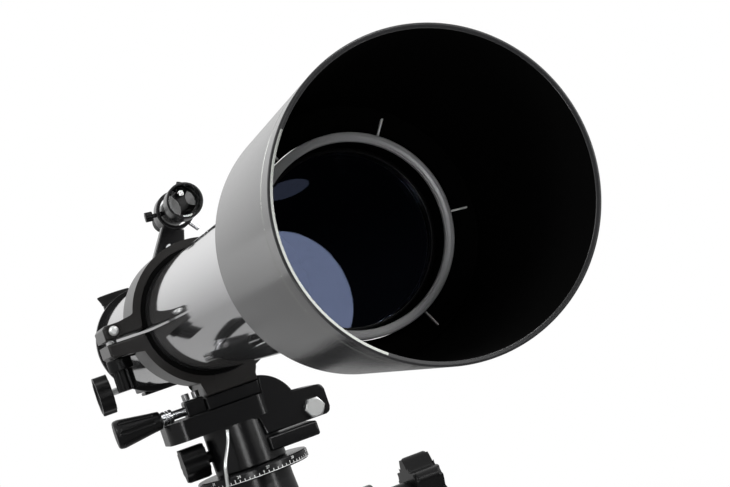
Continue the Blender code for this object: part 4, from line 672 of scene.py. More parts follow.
def lobed(radius: float, depth: float, count: int, steps: int) -> Outline:
    """Gives the outline of a hand knob whose rim waves inwards.

    Args:
        radius: Greatest radius.
        depth: How far the rim waves in.
        count: Number of lobes.
        steps: Points for each lobe.

    Returns:
        The outline.
    """
    total = count * steps
    points = []
    for step in range(total):
        angle = 2 * math.pi * step / total
        wave = radius - depth * (1 - math.cos(count * angle)) / 2
        points.append((wave * math.cos(angle), wave * math.sin(angle)))
    return points


class NodeTool:
    """A Geometry Nodes tree that is run on a piece and baked into its mesh."""

    NAME = "node_tool"
    INPUTS: dict[str, str] = {}

    @classmethod
    def wire(cls, tree: Tree, given: Node) -> Socket:
        """Adds the tool's own nodes.

        Args:
            tree: The node tree.
            given: The node that holds the tree's inputs.

        Returns:
            The geometry that the nodes make.
        """
        raise NotImplementedError

    @classmethod
    def tree(cls) -> Tree:
        """Gives the tree, made the first time it is asked for.

        Returns:
            The tree.
        """
        made = bpy.data.node_groups.get(cls.NAME)
        if made:
            return made
        tree = bpy.data.node_groups.new(cls.NAME, "GeometryNodeTree")
        for name, kind in (("Geometry", "Geometry"), *cls.INPUTS.items(), ("Finish", "Material")):
            tree.interface.new_socket(name, in_out="INPUT", socket_type=f"NodeSocket{kind}")
        tree.interface.new_socket("Geometry", in_out="OUTPUT", socket_type="NodeSocketGeometry")
        given = add_node(tree, "NodeGroupInput")
        real = add_node(tree, "GeometryNodeRealizeInstances", inputs={0: cls.wire(tree, given)})
        dressed = add_node(tree, "GeometryNodeSetMaterial", inputs={
            "Geometry": real.outputs[0], "Material": given.outputs["Finish"]})
        add_node(tree, "NodeGroupOutput", inputs={0: dressed.outputs[0]})
        return tree

    @classmethod
    def run(cls, piece: Piece, finish: Finish, values: dict[str, Any]) -> None:
        """Runs the tree on a piece and keeps what it makes as a plain mesh.

        Args:
            piece: The piece.
            finish: The surface of what is made.
            values: The tree's inputs by name.
        """
        tree = cls.tree()
        given = {**values, "Finish": finish.material()}
        modifier = piece.modifiers.new(cls.NAME, "NODES")
        modifier.node_group = tree
        for item in tree.interface.items_tree:
            if item.in_out == "INPUT" and item.name in given:
                modifier[item.identifier] = given[item.name]
        Form.bake(piece)


class RadialRepeat(NodeTool):
    """Repeats a piece round its own Z axis."""

    NAME = "repeat_round_axis"
    INPUTS = {"Count": "Int", "Step": "Float", "Start": "Float"}

    @classmethod
    def wire(cls, tree: Tree, given: Node) -> Socket:
        """Turns one copy for each point by the step and the start angle.

        Args:
            tree: The node tree.
            given: The node that holds the tree's inputs.

        Returns:
            The copies.
        """
        points = add_node(tree, "GeometryNodePoints", inputs={"Count": given.outputs["Count"]})
        index = add_node(tree, "GeometryNodeInputIndex")
        turned = add_node(tree, "ShaderNodeMath", {"operation": "MULTIPLY_ADD"}, {
            0: index.outputs[0], 1: given.outputs["Step"], 2: given.outputs["Start"]})
        about = add_node(tree, "ShaderNodeCombineXYZ", inputs={2: turned.outputs[0]})
        copies = add_node(tree, "GeometryNodeInstanceOnPoints", inputs={
            "Points": points.outputs[0], "Instance": given.outputs["Geometry"],
            "Rotation": about.outputs[0]})
        return copies.outputs[0]

    @classmethod
    def make(cls, pattern: Piece, count: int, finish: Finish, place: Matrix, start: float = 0.0) -> Piece:
        """Shares out copies of a pattern over a full turn and carries the ring of them to its place.

        Args:
            pattern: One copy, built round the Z axis at the origin. It becomes the whole ring.
            count: How many copies.
            finish: The copies' surface.
            place: Where the ring's own axes lie in the frame.
            start: Angle of the first copy in radians.

        Returns:
            The ring as one plain mesh.
        """
        cls.run(pattern, finish, {"Count": count, "Step": 2 * math.pi / count, "Start": start})
        pattern.data.transform(place)
        return pattern


class PathSweep(NodeTool):
    """Runs a round bar along a row of points."""

    NAME = "round_bar_on_path"
    INPUTS = {"Radius": "Float"}
    BAR_SIDES = 20

    @classmethod
    def wire(cls, tree: Tree, given: Node) -> Socket:
        """Smooths the path and sweeps a circle along it.

        Args:
            tree: The node tree.
            given: The node that holds the tree's inputs.

        Returns:
            The bar.
        """
        path = add_node(tree, "GeometryNodeMeshToCurve", inputs={"Mesh": given.outputs["Geometry"]})
        smooth = add_node(tree, "GeometryNodeCurveSplineType", {"spline_type": "CATMULL_ROM"}, {
            "Curve": path.outputs[0]})
        round_bar = add_node(tree, "GeometryNodeCurvePrimitiveCircle", inputs={
            "Resolution": cls.BAR_SIDES, "Radius": given.outputs["Radius"]})
        bar = add_node(tree, "GeometryNodeCurveToMesh", inputs={
            "Curve": smooth.outputs[0], "Profile Curve": round_bar.outputs[0], "Fill Caps": True})
        return bar.outputs[0]

    @classmethod
    def make(cls, name: str, points: Sequence[Point], radius: float, finish: Finish) -> Piece:
        """Makes a bent bar.

        Args:
            name: The piece's name.
            points: Where the bar's middle runs.
            radius: The bar's radius.
            finish: Its surface.

        Returns:
            The bar as a plain mesh.
        """
        mesh = bpy.data.meshes.new(name)
        mesh.from_pydata(points, [(i, i + 1) for i in range(len(points) - 1)], [])
        bar = Form.link(name, mesh)
        cls.run(bar, finish, {"Radius": radius})
        return bar


def lens_profile(radius: float, front: float, edge: float, curves: tuple[float, float],
                 rings: int) -> Outline:
    """Gives the profile of a lens, back face first.

    Args:
        radius: The lens's radius.
        front: Where its edge starts along the axis.
        edge: Thickness of its edge.
        curves: Radii of its front and back faces. A positive one bulges out, 0 is flat.
        rings: Points along each face.

    Returns:
        The profile from the back pole to the front pole.
    """
    def bulge(at: float, curve: float) -> float:
        """Gives a face's height over its edge at a distance from the axis."""
        rise = math.sqrt(curve ** 2 - at ** 2) - math.sqrt(curve ** 2 - radius ** 2) if curve else 0.0
        return math.copysign(rise, curve)

    radii = [radius * i / rings for i in range(rings + 1)]
    back = [(at, front + edge + bulge(at, curves[1])) for at in radii]
    face = [(at, front - bulge(at, curves[0])) for at in reversed(radii)]
    return back + face


@dataclass
class Assembly:
    """A group of pieces that share a builder. Each piece is dressed and rides on a body."""

    body: str = "telescope"
    pieces: list[str] = field(default_factory=list)
    gap: float = 0.3 * MM
    axis_z: float = field(default_factory=lambda: Extent.of("main_tube").middle.z)

    @property
    def along(self) -> Matrix:
        """The place of pieces that are turned about the optical axis."""
        return Facing.BACK.at(z=self.axis_z)

    def distance(self, point: Vector) -> float:
        """Distance of a point from the optical axis."""
        return math.hypot(point.x, point.z - self.axis_z)

    def hole(self, radius: float, low: float, high: float, place: Matrix) -> Piece:
        """Makes a cutter for a round hole with room for a pin or a shaft of a radius."""
        return Form.bore(radius + self.gap, low, high, place)

    def fit(self, piece: Piece, finish: Finish, *nodes: str, body: str = "") -> None:
        """Dresses a piece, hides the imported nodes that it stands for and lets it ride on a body.

        Args:
            piece: The finished object.
            finish: Its surface.
            nodes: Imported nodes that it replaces.
            body: The body it moves with, if not the assembly's own.
        """
        Form.flatten(piece)
        if not piece.data.materials:
            piece.data.materials.append(finish.material())
        else:
            piece.data.materials[0] = finish.material()
        if nodes:
            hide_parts(*nodes)
        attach(piece, body or self.body)
        self.pieces.append(piece.name)

    @staticmethod
    def paint(piece: Piece, finish: Finish, chosen: Callable[[Vector], bool]) -> None:
        """Gives the faces that a test chooses a second surface.

        Args:
            piece: The piece, dressed already.
            finish: The second surface.
            chosen: Test of a face's centre.
        """
        piece.data.materials.append(finish.material())
        index = len(piece.data.materials) - 1
        for face in piece.data.polygons:
            if chosen(face.center):
                face.material_index = index

    def report(self) -> None:
        """Logs the pieces that were built."""
        LOG.info("%s: %s", type(self).__name__, ", ".join(self.pieces))


@dataclass
class OpticalTube(Assembly):
    """Main tube and the dew shield with its ribbed back wall."""

    wall: float = 1.2 * MM
    shield_front_r: float = 62 * MM
    shield_back_r: float = 59.3 * MM
    shield_wall: float = 2.1 * MM
    shield_back_wall: float = 2.5 * MM
    lip_length: float = 14 * MM
    groove: float = 0.5 * MM
    edge: float = 0.7 * MM
    bevel: float = 0.25 * MM
    # Where the painted highlight lies on the rim: its depth from the front, the angle of its middle and its
    # half spread.
    worn_depth: float = 0.225 * MM
    worn_turn: float = math.radians(187)
    worn_spread: float = math.radians(45)
    rib_count: int = 6
    rib_length: float = 8 * MM
    rib_width: float = 0.8 * MM
    rib_turn: float = math.radians(4)
    rib_height: float = 2 * MM

    def build(self) -> None:
        """Builds the tube and the dew shield."""
        self._tube()
        self._shield()

    def _tube(self) -> None:
        """White tube, flat black inside."""
        tube = Extent.of("main_tube")
        bore = tube.radius - self.wall
        piece = Form.sleeve("white_tube", (tube.radius, bore), tube.low.y, tube.high.y, self.along,
                            Facets.TUBE, (Edge.CRISP, 0.0))
        self.fit(piece, Look.WHITE_ENAMEL, "main_tube")
        middle = (tube.radius + bore) / 2
        self.paint(piece, Look.FLAT_BLACK, lambda centre: self.distance(centre) < middle)

    def _shield(self) -> None:
        """Slightly conical dew shield with a moulded lip, a flat black inside, and a painted highlight on
        the lip groove and on the rim on one side.
        """
        box = Extent.of("dew_shield")
        hole = Extent.of("lens_cell").radius + self.gap
        front, back = box.low.y, box.high.y
        taper = (self.shield_back_r - self.shield_front_r) / (back - front)
        lip_y = front + self.lip_length
        lip_r = self.shield_front_r + taper * self.lip_length
        wall_y = back - self.shield_back_wall
        inner_front = self.shield_front_r - self.shield_wall
        inner_back = self.shield_back_r - self.shield_wall
        half_wall = self.shield_wall / 2
        piece = Form.lathe("moulded_dew_shield", [
            (self.shield_back_r, back, 3 * self.edge),
            (lip_r, lip_y + self.groove), (lip_r - self.groove, lip_y), (lip_r, lip_y - self.groove),
            (self.shield_front_r, front, self.edge),
            (inner_front + half_wall, front), (inner_front, front + self.bevel, self.bevel),
            (inner_back, wall_y, self.edge),
            (hole, wall_y), (hole, back)], self.along, Facets.SHIELD)
        self.fit(piece, Look.DEW_PLASTIC, "dew_shield")
        depth = 2 * self.edge
        self.paint(piece, Look.FLAT_BLACK, lambda centre: (
            front + depth < centre.y < back - self.edge
            and self.distance(centre) < self.shield_front_r + taper * (centre.y - front) - half_wall))
        axis = Vector((0.0, 0.0, self.axis_z))
        highlight_side = Vector((math.cos(self.worn_turn), 0.0, math.sin(self.worn_turn)))
        highlight_reach = inner_front * math.cos(self.worn_spread)
        # Painted highlight: the lip groove and a stretch of the rim's inner edge get a light metallic finish
        # that stands in for lamp light.
        self.paint(piece, Look.BRIGHT_EDGE, lambda centre: (
            abs(centre.y - lip_y) < self.groove
            or centre.y < front + self.worn_depth
            and self.distance(centre) < inner_front + half_wall
            and highlight_side.dot(centre - axis) > highlight_reach))
        start = hole + self.rib_width - self.gap
        pattern = Form.block("back_wall_ribs", (start, -self.rib_width / 2, -self.rib_height),
                             (start + self.rib_length, self.rib_width / 2, self.edge), Edge.SHARP)
        # The rib tops are painted near white as painted highlights.
        ring = RadialRepeat.make(pattern, self.rib_count, Look.RIB_PALE,
                                 Facing.BACK.at(y=wall_y, z=self.axis_z), self.rib_turn)
        self.fit(ring, Look.RIB_PALE)


@dataclass
class Objective(Assembly):
    """Lens cell, front ring, retainer, spacer and the two glasses."""

    glass_r: float = 40.6 * MM
    collar: float = 5 * MM
    socket_r: float = 41.3 * MM
    sleeve_wall: float = 2 * MM
    seat_lip: float = 3 * MM
    seat_thickness: float = 3 * MM
    seat_clearance: float = 1.1 * MM
    ring_step: float = 1.1 * MM
    black_ring_widths: tuple[tuple[str, float], ...] = (("lens_retainer", 1.9 * MM), ("lens_spacer", 2 * MM))
    crown_curve: float = 540 * MM
    inner_curve: float = 400 * MM
    flint_curve: float = 1500 * MM
    crown_edge: float = 4.5 * MM
    flint_edge: float = 5 * MM
    glass_rings: int = 16
    coat_depth: float = 0.05 * MM

    def build(self) -> None:
        """Builds the cell and the glasses."""
        self.bore = self.glass_r + self.gap
        self._cell()
        self._rings()
        self._glasses()

    def _cell(self) -> None:
        """Turned cell: a collar behind the dew shield and a sleeve over the tube."""
        box = Extent.of("lens_cell")
        collar_end = Extent.of("dew_shield").high.y + self.collar
        seat = Extent.of("flint_lens").low.y + self.flint_edge + self.seat_clearance
        seat_end = seat + self.seat_thickness
        seat_r = self.glass_r - self.seat_lip
        sleeve = self.socket_r + self.sleeve_wall
        piece = Form.lathe("turned_lens_cell", [
            (sleeve, box.high.y, Edge.BROKEN), (sleeve, collar_end, Edge.SHARP),
            (box.radius, collar_end, Edge.EASED), (box.radius, box.low.y),
            (self.bore, box.low.y), (self.bore, seat), (seat_r, seat), (seat_r, seat_end),
            (self.socket_r, seat_end), (self.socket_r, box.high.y)], self.along, Facets.CELL)
        self.fit(piece, Look.TURNED, "lens_cell")
        inner = (self.bore + box.radius) / 2
        self.paint(piece, Look.FLAT_BLACK, lambda centre: (
            self.distance(centre) < inner and centre.y < seat_end))

    def _rings(self) -> None:
        """Satin front ring, black retainer and black spacer."""
        ring = Extent.of("lens_ring")
        bore = self.bore
        step = self.ring_step
        piece = Form.lathe("satin_lens_ring", [
            (ring.radius, ring.high.y), (ring.radius, ring.low.y, Edge.SOFT),
            (bore + 2 * step, ring.low.y, Edge.HAIR), (bore + step, ring.low.y + step / 2, Edge.HAIR),
            (bore, ring.low.y + step / 2, Edge.SHARP), (bore, ring.high.y)], self.along, Facets.TUBE)
        self.fit(piece, Look.RING_GREY, "lens_ring")
        for node, width in self.black_ring_widths:
            box = Extent.of(node)
            edge = box.size.y / 6
            piece = Form.lathe(f"black_{node}", [
                (self.glass_r, box.high.y), (self.glass_r, box.low.y, edge),
                (self.glass_r - width, box.low.y, edge), (self.glass_r - width, box.high.y)], self.along,
                Facets.CELL)
            self.fit(piece, Look.PLASTIC, node)

    def _glasses(self) -> None:
        """Crown and flint glass with true curves and a better coating on their outer faces."""
        crown_y = Extent.of("lens_retainer").high.y + self.gap
        flint_y = Extent.of("lens_spacer").high.y + self.gap
        for name, node, front, edge, curves in (
            ("crown_glass", "crown_lens", crown_y, self.crown_edge, (self.crown_curve, self.inner_curve)),
            ("flint_glass", "flint_lens", flint_y, self.flint_edge, (-self.inner_curve, self.flint_curve)),
        ):
            profile = lens_profile(self.glass_r, front, edge, curves, self.glass_rings)
            piece = Form.lathe(name, profile, self.along, Facets.CELL)
            self.fit(piece, Look.GLASS, node)
            near, far = front + self.coat_depth, front + edge - self.coat_depth
            outer = (lambda c: c.y < near) if node == "crown_lens" else (lambda c: c.y > far)
            self.paint(piece, Look.GLASS_OUTER, outer)


def hexagon(radius: float) -> Outline:
    """Gives the outline of a hexagon with its corners at a radius."""
    return [(radius * math.cos(i * math.pi / 3), radius * math.sin(i * math.pi / 3)) for i in range(6)]


def hex_bolt(name: str, head_r: float, head: tuple[float, float], shank_r: float, shank_end: float,
             place: Matrix) -> Piece:
    """Makes a hexagon bolt along the piece's own Z axis, its head chamfered at the low end.

    Args:
        name: The piece's name.
        head_r: Radius of the head's corners.
        head: Where the head starts and ends.
        shank_r: Radius of the shank.
        shank_end: Where the shank ends.
        place: Its place in the frame.

    Returns:
        The bolt.
    """
    low, high = head
    chamfer = (high - low) / 4
    face_r, clear_r = (share * head_r for share in CHAMFER_SHARES)
    bolt = Form.prism(name, hexagon(head_r), low, high, place, Edge.HAIR)
    far = high + chamfer
    cone = Form.lathe("bolt_chamfer", [
        (0.0, low), (face_r, low), (clear_r, low + chamfer), (clear_r, far), (0.0, far)], place, Facets.BOLT)
    Form.combine(bolt, [cone], "INTERSECT")
    shank = Form.rod("bolt_shank", shank_r, low + chamfer, shank_end, place, Facets.SCREW,
                     (0.0, shank_r / 6))
    return Form.join(bolt, shank)


@dataclass
class ThumbScrews(Assembly):
    """Small knurled thumb screws. Each turns on its own body."""

    knurl_depth: float = 0.45 * MM
    knurls: int = 14
    knurl_steps: int = 6
    head_edge: float = 0.6 * MM
    small_screw_r: float = 1.8 * MM
    small_reach: float = 1.8 * MM
    small_knob_r: float = 4.2 * MM

    def add(self, node: str, body: str, radius: float, tip: float, knob: tuple[float, float], knob_r: float,
            place: Matrix) -> None:
        """Builds one screw.

        Args:
            node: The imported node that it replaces.
            body: The body it turns on.
            radius: Radius of its shank.
            tip: Where the shank starts.
            knob: Where the knob starts and ends.
            knob_r: Radius of the knob.
            place: Where the screw's own axes lie in the frame.
        """
        outline = lobed(knob_r, self.knurl_depth, self.knurls, self.knurl_steps)
        head = Form.prism(f"knurled_{node}", outline, *knob, place, self.head_edge)
        shank = Form.rod("screw_shank", radius, tip, knob[0] + self.head_edge, place, Facets.SCREW,
                         (radius / 4, 0.0))
        Form.join(head, shank)
        self.fit(head, Look.PLASTIC, node, body=body)


@dataclass
class Cradle(Assembly):
    """Two hinged cradle halves lined with felt, with the clamp screw and its thumb knob."""

    body: str = "head"
    inner_r: float = 44 * MM
    outer_r: float = 49.4 * MM
    split: float = 3 * MM
    flange_reach: float = 20.6 * MM
    flange_thickness: float = 9.6 * MM
    flange_corner: float = 2 * MM
    foot_width: float = 36 * MM
    foot_height: float = 5.6 * MM
    edge: float = 1.5 * MM
    knuckle_r: float = 4.5 * MM
    knuckle_length: float = 19 * MM
    hinge_x: float = 54.4 * MM
    hinge_bore: float = 2.5 * MM
    web_root: float = 3 * MM
    felt_inner_r: float = 41.3 * MM
    felt_thickness: float = 2.4 * MM
    clamp_x: float = -63 * MM
    bolt_r: float = 3 * MM
    pin_r: float = 2 * MM
    pin_head_r: float = 3.4 * MM
    pin_head_height: float = 2.4 * MM
    pin_recess_r: float = 4.8 * MM
    collar_r: float = 8.5 * MM
    collar_height: float = 8.5 * MM
    knob_r: float = 7 * MM
    knob_height: float = 14 * MM
    knob_ribs: int = 12
    rib_steps: int = 8
    rib_depth: float = 0.9 * MM
    steps: int = 56

    def build(self) -> None:
        """Builds the halves, their lining and the clamp."""
        self.section = Facing.SECTION.at(z=self.axis_z)
        self.hinge = Facing.BACK.at(self.hinge_x, z=self.axis_z)
        self.upright = Facing.UP.at(self.clamp_x, z=self.axis_z)
        self.pin_z = (self.split + self.flange_thickness) / 2
        self.pin_place = Facing.BACK.at(self.clamp_x, z=self.axis_z + self.pin_z)
        for side, name in ((-1, "lower"), (1, "upper")):
            self._half(side, f"cradle_{name}")
            self._felt(side, f"felt_{name}")
        pin = Extent.of("cradle_hinge_pin")
        piece = Form.rod("hinge_pin", pin.radius, pin.low.y, pin.high.y, self.hinge, Facets.SCREW,
                         (Edge.CRISP, Edge.CRISP))
        self.fit(piece, Look.ZINC, "cradle_hinge_pin")
        self._clamp()

    def _outline(self, side: int) -> Outline:
        """Gives the section of one half.

        Args:
            side: 1 above and -1 below.

        Returns:
            The section's outline.
        """
        split = self.split / 2
        flange = split + self.flange_thickness
        reach = -self.outer_r - self.flange_reach
        flange_end = math.degrees(math.asin(flange / self.outer_r))
        hinge_end = math.degrees(math.asin(split / self.outer_r))
        inner_end = math.degrees(math.asin(split / self.inner_r))
        corner = self.flange_corner
        outline = [(reach, split), (reach, flange - corner), (reach + corner, flange)]
        if side > 0:
            outline += arc(0, 0, self.outer_r, 180 - flange_end, hinge_end, self.steps)
        else:
            half = self.foot_width / 2
            foot_angle = math.degrees(math.acos(half / self.outer_r))
            low = self.outer_r + self.foot_height
            outline += arc(0, 0, self.outer_r, 180 - flange_end, 180 - foot_angle, self.steps // 2)
            outline += [(-half, low), (half, low)]
            outline += arc(0, 0, self.outer_r, foot_angle, hinge_end, self.steps // 2)
        outline += arc(0, 0, self.inner_r, inner_end, 180 - inner_end, self.steps)
        return [(x, side * z) for x, z in outline]

    def _half(self, side: int, node: str) -> None:
        """Builds one half with its hinge knuckles and bores.

        Args:
            side: 1 above and -1 below.
            node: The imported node.
        """
        half = Extent.of(node).size.y / 2
        piece = Form.prism(f"cast_{node}", self._outline(side), -half, half, self.section, self.edge)
        middle = self.knuckle_length / 2
        gap = self.gap
        spans = [(-middle, middle)] if side > 0 else [(-half, -middle - gap), (middle + gap, half)]
        for low, high in spans:
            knuckle = Form.rod("knuckle", self.knuckle_r, low, high, self.hinge, Facets.PIN,
                               (Edge.EASED, Edge.EASED))
            foot, top = sorted((side * self.split / 2, side * (self.split / 2 + self.knuckle_r)))
            web = Form.block("hinge_web", (self.outer_r - self.web_root, low, self.axis_z + foot),
                             (self.hinge_x, high, self.axis_z + top), Edge.SHARP)
            Form.join(piece, web, knuckle)
        bolt_top = max(0, side) * self.pin_z + gap
        cuts = [self.hole(self.bolt_r, -self.collar_r * 2, bolt_top, self.upright),
                Form.bore(self.hinge_bore, -2 * half, 2 * half, self.hinge)]
        if side > 0:
            cuts.append(self.hole(self.pin_r, -2 * half, 2 * half, self.pin_place))
            cuts.append(Form.bore(self.pin_recess_r, -2 * half, 2 * gap - half, self.pin_place))
        Form.cut(piece, *cuts)
        # The cradle's enamel is painted lighter than the casting's, standing in for light on its front
        # faces.
        self.fit(piece, Look.CRADLE, node)

    def _felt(self, side: int, node: str) -> None:
        """Builds one felt strip.

        Args:
            side: 1 above and -1 below.
            node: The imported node.
        """
        half = Extent.of(node).size.y / 2
        gap = math.degrees(math.asin(self.split / 2 / self.felt_inner_r))
        outline = arc(0, 0, self.felt_inner_r + self.felt_thickness, 180 - gap, gap, self.steps)
        outline += arc(0, 0, self.felt_inner_r, gap, 180 - gap, self.steps)
        piece = Form.prism(f"woollen_{node}", [(x, side * z) for x, z in outline], -half, half, self.section,
                           Edge.BROKEN)
        self.fit(piece, Look.FELT, node)

    def _clamp(self) -> None:
        """Builds the clamp bolt on its cross pin and the ribbed knob under the flanges."""
        gap = self.gap
        seat = self.split / 2 + self.flange_thickness + gap
        collar_foot = -seat - self.collar_height
        knob_end = collar_foot - self.knob_height
        bolt_end = knob_end + self.bolt_r
        bolt = Form.rod("clamp_bolt_on_cross_pin", self.bolt_r, bolt_end, self.pin_z, self.upright,
                        Facets.BOLT, (Edge.CRISP, 0.0))
        box = Extent.of("clamp_bolt")
        front, back = box.low.y, box.high.y
        head = front + self.pin_head_height
        pin = Form.lathe("cross_pin", [
            (0.0, back), (self.pin_r, back, Edge.CRISP), (self.pin_r, head),
            (self.pin_head_r, head, Edge.SHARP), (self.pin_head_r, (front + head) / 2, Edge.ROUND),
            (self.pin_r, front, Edge.FULL), (0.0, front)], self.pin_place, Facets.BOLT)
        Form.join(bolt, pin)
        self.fit(bolt, Look.ZINC, "clamp_bolt")
        knob = Form.rod("clamp_thumb_knob", self.collar_r, collar_foot, -seat, self.upright, Facets.KNOB,
                        (Edge.SOFT, Edge.SOFT))
        outline = lobed(self.knob_r, self.rib_depth, self.knob_ribs, self.rib_steps)
        grip = Form.prism("grip", outline, knob_end, -seat - self.collar_height / 2, self.upright, Edge.SOFT)
        Form.join(knob, grip)
        Form.cut(knob, self.hole(self.bolt_r, bolt_end - gap, 0, self.upright))
        self.fit(knob, Look.PLASTIC, "clamp_knob", body="cradle_clamp")


def rounded_plate(low: float, high: float, depth: float, corners: tuple[float, float],
                  steps: int) -> Outline:
    """Gives the outline of a plate about the X axis with one corner radius at each end.

    Args:
        low: The plate's least X.
        high: Its greatest X.
        depth: Its width across.
        corners: Corner radii at the low and at the high end.
        steps: Segments of each corner.

    Returns:
        The outline.
    """
    half = depth / 2
    left, right = corners
    points = arc(low + left, half - left, left, 90, 180, steps)
    points += arc(low + left, left - half, left, 180, 270, steps)
    points += arc(high - right, right - half, right, 270, 360, steps)
    points += arc(high - right, half - right, right, 0, 90, steps)
    return points


@dataclass
class Head(Assembly):
    """Head casting with its bolt, index and lock knob."""

    body: str = "head"
    left: float = -50 * MM
    right: float = 20 * MM
    depth: float = 52 * MM
    plate_height: float = 14 * MM
    corners: tuple[float, float] = (13 * MM, 6.5 * MM)
    corner_steps: int = 12
    edge: float = 1.4 * MM
    cylinder_r: float = 25 * MM
    arch_x: float = 13 * MM
    arch_r: float = 27 * MM
    arch_depth: float = 34 * MM
    arch_steps: int = 24
    lug_inset: float = 2 * MM
    lug_reach: float = 60 * MM
    lug_rise: float = 7 * MM
    lug_drop: float = 14 * MM
    lug_nose: float = 4 * MM
    nose_steps: int = 6
    lug_slit: float = 1.6 * MM
    lower_lug_reach: float = 48 * MM
    lower_lug_height: float = 10 * MM
    lower_lug_edge: float = 1.6 * MM
    bolt_x: float = 49 * MM
    bolt_r: float = 4 * MM
    bolt_head_r: float = 7.2 * MM
    bolt_head: float = 5.3 * MM
    spindle_r: float = 12 * MM
    spindle_cover: float = 4 * MM
    lock_drop: float = 16 * MM
    lock_r: float = 12.5 * MM
    lock_clearance: float = 3 * MM
    lock_lobes: int = 5
    lock_steps: int = 20
    lock_segments: int = 4
    lock_lobe_depth: float = 2.5 * MM
    stud_r: float = 4 * MM
    stud_length: float = 9 * MM
    pointer_r: float = 1.2 * MM
    pointer_top_x: float = 12 * MM
    pointer_end_x: float = 25 * MM
    pointer_bend: float = 0.7
    pointer_steps: int = 24

    def build(self) -> None:
        """Builds the casting and what is screwed to it."""
        box = Extent.of("head_casting")
        self.front = box.low.y
        self.foot_z = box.low.z
        self.plate_z = Extent.of("saddle_block").low.z - self.gap - self.plate_height
        self.lug_front = self.lug_inset - self.depth / 2
        self.lug_back = self.lug_front + self.arch_depth
        self.bolt_place = Facing.BACK.at(self.bolt_x, z=self.plate_z - self.lug_drop / 2)
        self.lock_place = Facing.RIGHT.at(z=self.plate_z - self.lock_drop)
        self._casting()
        self._bolt()
        self._pointer()
        self._lock_knob()

    def _shoulder(self, half: float) -> Piece:
        """Gives the arched shoulder with the upper clamp lug.

        Args:
            half: Where the lug starts along X.

        Returns:
            The shoulder.
        """
        body = self.plate_z
        sink = self.plate_height / 2
        inner = Extent.of("saddle_block").high.x + self.gap
        start = math.degrees(math.acos((inner - self.arch_x) / self.arch_r))
        end = math.degrees(math.asin(self.lug_rise / self.arch_r))
        nose = self.lug_nose
        lug_foot = body - self.lug_drop
        outline = [(0, body - self.gap), (0, body + sink), (inner, body + sink)]
        outline += arc(self.arch_x, body, self.arch_r, start, end, self.arch_steps)
        outline += arc(self.lug_reach - nose, body + self.lug_rise - nose, nose, 90, 0, self.nose_steps)
        outline += arc(self.lug_reach - nose, lug_foot + nose, nose, 0, -90, self.nose_steps)
        outline += [(half, lug_foot), (half, body - self.gap)]
        return Form.prism("shoulder", outline, -self.lug_back, -self.lug_front, Facing.SECTION.at(),
                          self.edge)

    def _casting(self) -> None:
        """Rounded plate on a cylinder, with the shoulder and the lower clamp lug."""
        body = self.plate_z
        top = body + self.plate_height
        half = self.cylinder_r / 2
        upright = Facing.UP.at()
        plate = rounded_plate(self.left, self.right, self.depth, self.corners, self.corner_steps)
        casting = Form.prism("head_plate_casting", plate, body, top, upright, self.edge)
        cylinder = Form.rod("cylinder", self.cylinder_r, self.foot_z, body + self.plate_height / 2, upright,
                            Facets.COLUMN, (Edge.ROUND, 0.0))
        lug_top = body - self.lug_drop - self.lug_slit
        lug = Form.block("lower_lug", (half, self.lug_front, lug_top - self.lower_lug_height),
                         (self.lower_lug_reach, self.lug_back, lug_top), self.lower_lug_edge)
        Form.join(casting, cylinder, self._shoulder(half), lug)
        gap = self.gap
        Form.cut(
            casting,
            self.hole(self.bolt_r, 2 * self.front, self.lug_back - self.bolt_r + gap, self.bolt_place),
            self.hole(self.spindle_r, self.foot_z - self.depth, top - self.spindle_cover + gap, upright),
            self.hole(self.stud_r, 2 * self.left, self.stud_length + gap - self.cylinder_r, self.lock_place))
        self.fit(casting, Look.CASTING, "head_casting")

    def _bolt(self) -> None:
        """Zinc hexagon bolt that pinches the lugs."""
        back = self.lug_front - self.gap
        piece = hex_bolt("hexagon_clamp_bolt", self.bolt_head_r, (back - self.bolt_head, back), self.bolt_r,
                         self.lug_back - self.bolt_r, self.bolt_place)
        self.fit(piece, Look.ZINC, "head_hex_bolt")

    def _pointer(self) -> None:
        """Bent wire that reaches from the plate down to the setting circle's rim."""
        circle = Extent.of("setting_circle")
        top_r = self.cylinder_r + self.gap + self.pointer_r
        end_r = circle.radius + self.gap + self.pointer_r
        top_angle = math.pi + math.acos(self.pointer_top_x / top_r)
        end_angle = math.pi + math.acos(self.pointer_end_x / end_r)
        top_z = self.plate_z - self.pointer_r - self.gap
        end_z = circle.low.z + self.pointer_r
        points = []
        for step in range(self.pointer_steps + 1):
            share = step / self.pointer_steps
            swing = (1 - math.cos(math.pi * min(1, share / self.pointer_bend))) / 2
            radius = top_r + (end_r - top_r) * swing
            angle = top_angle + (end_angle - top_angle) * share
            height = top_z + (end_z - top_z) * share
            points.append((radius * math.cos(angle), radius * math.sin(angle), height))
        piece = PathSweep.make("bent_wire_index", points, self.pointer_r, Look.ZINC)
        self.fit(piece, Look.ZINC, "index_pointer")

    def _lock_knob(self) -> None:
        """Five-lobed knob on a stud."""
        low, high = Extent.of("axis_lock_knob").low.x, -self.cylinder_r - self.lock_clearance
        outline = lobed(self.lock_r, self.lock_lobe_depth, self.lock_lobes, self.lock_steps)
        knob = Form.prism("five_lobed_lock_knob", outline, low, high, self.lock_place, Edge.WIDE,
                          self.lock_segments)
        tip = self.stud_length - self.cylinder_r
        stud = Form.rod("stud", self.stud_r, (low + high) / 2, tip, self.lock_place, Facets.PIN,
                        (0.0, Edge.BROKEN))
        Form.join(knob, stud)
        self.fit(knob, Look.PLASTIC, "axis_lock_knob", body="axis_lock")


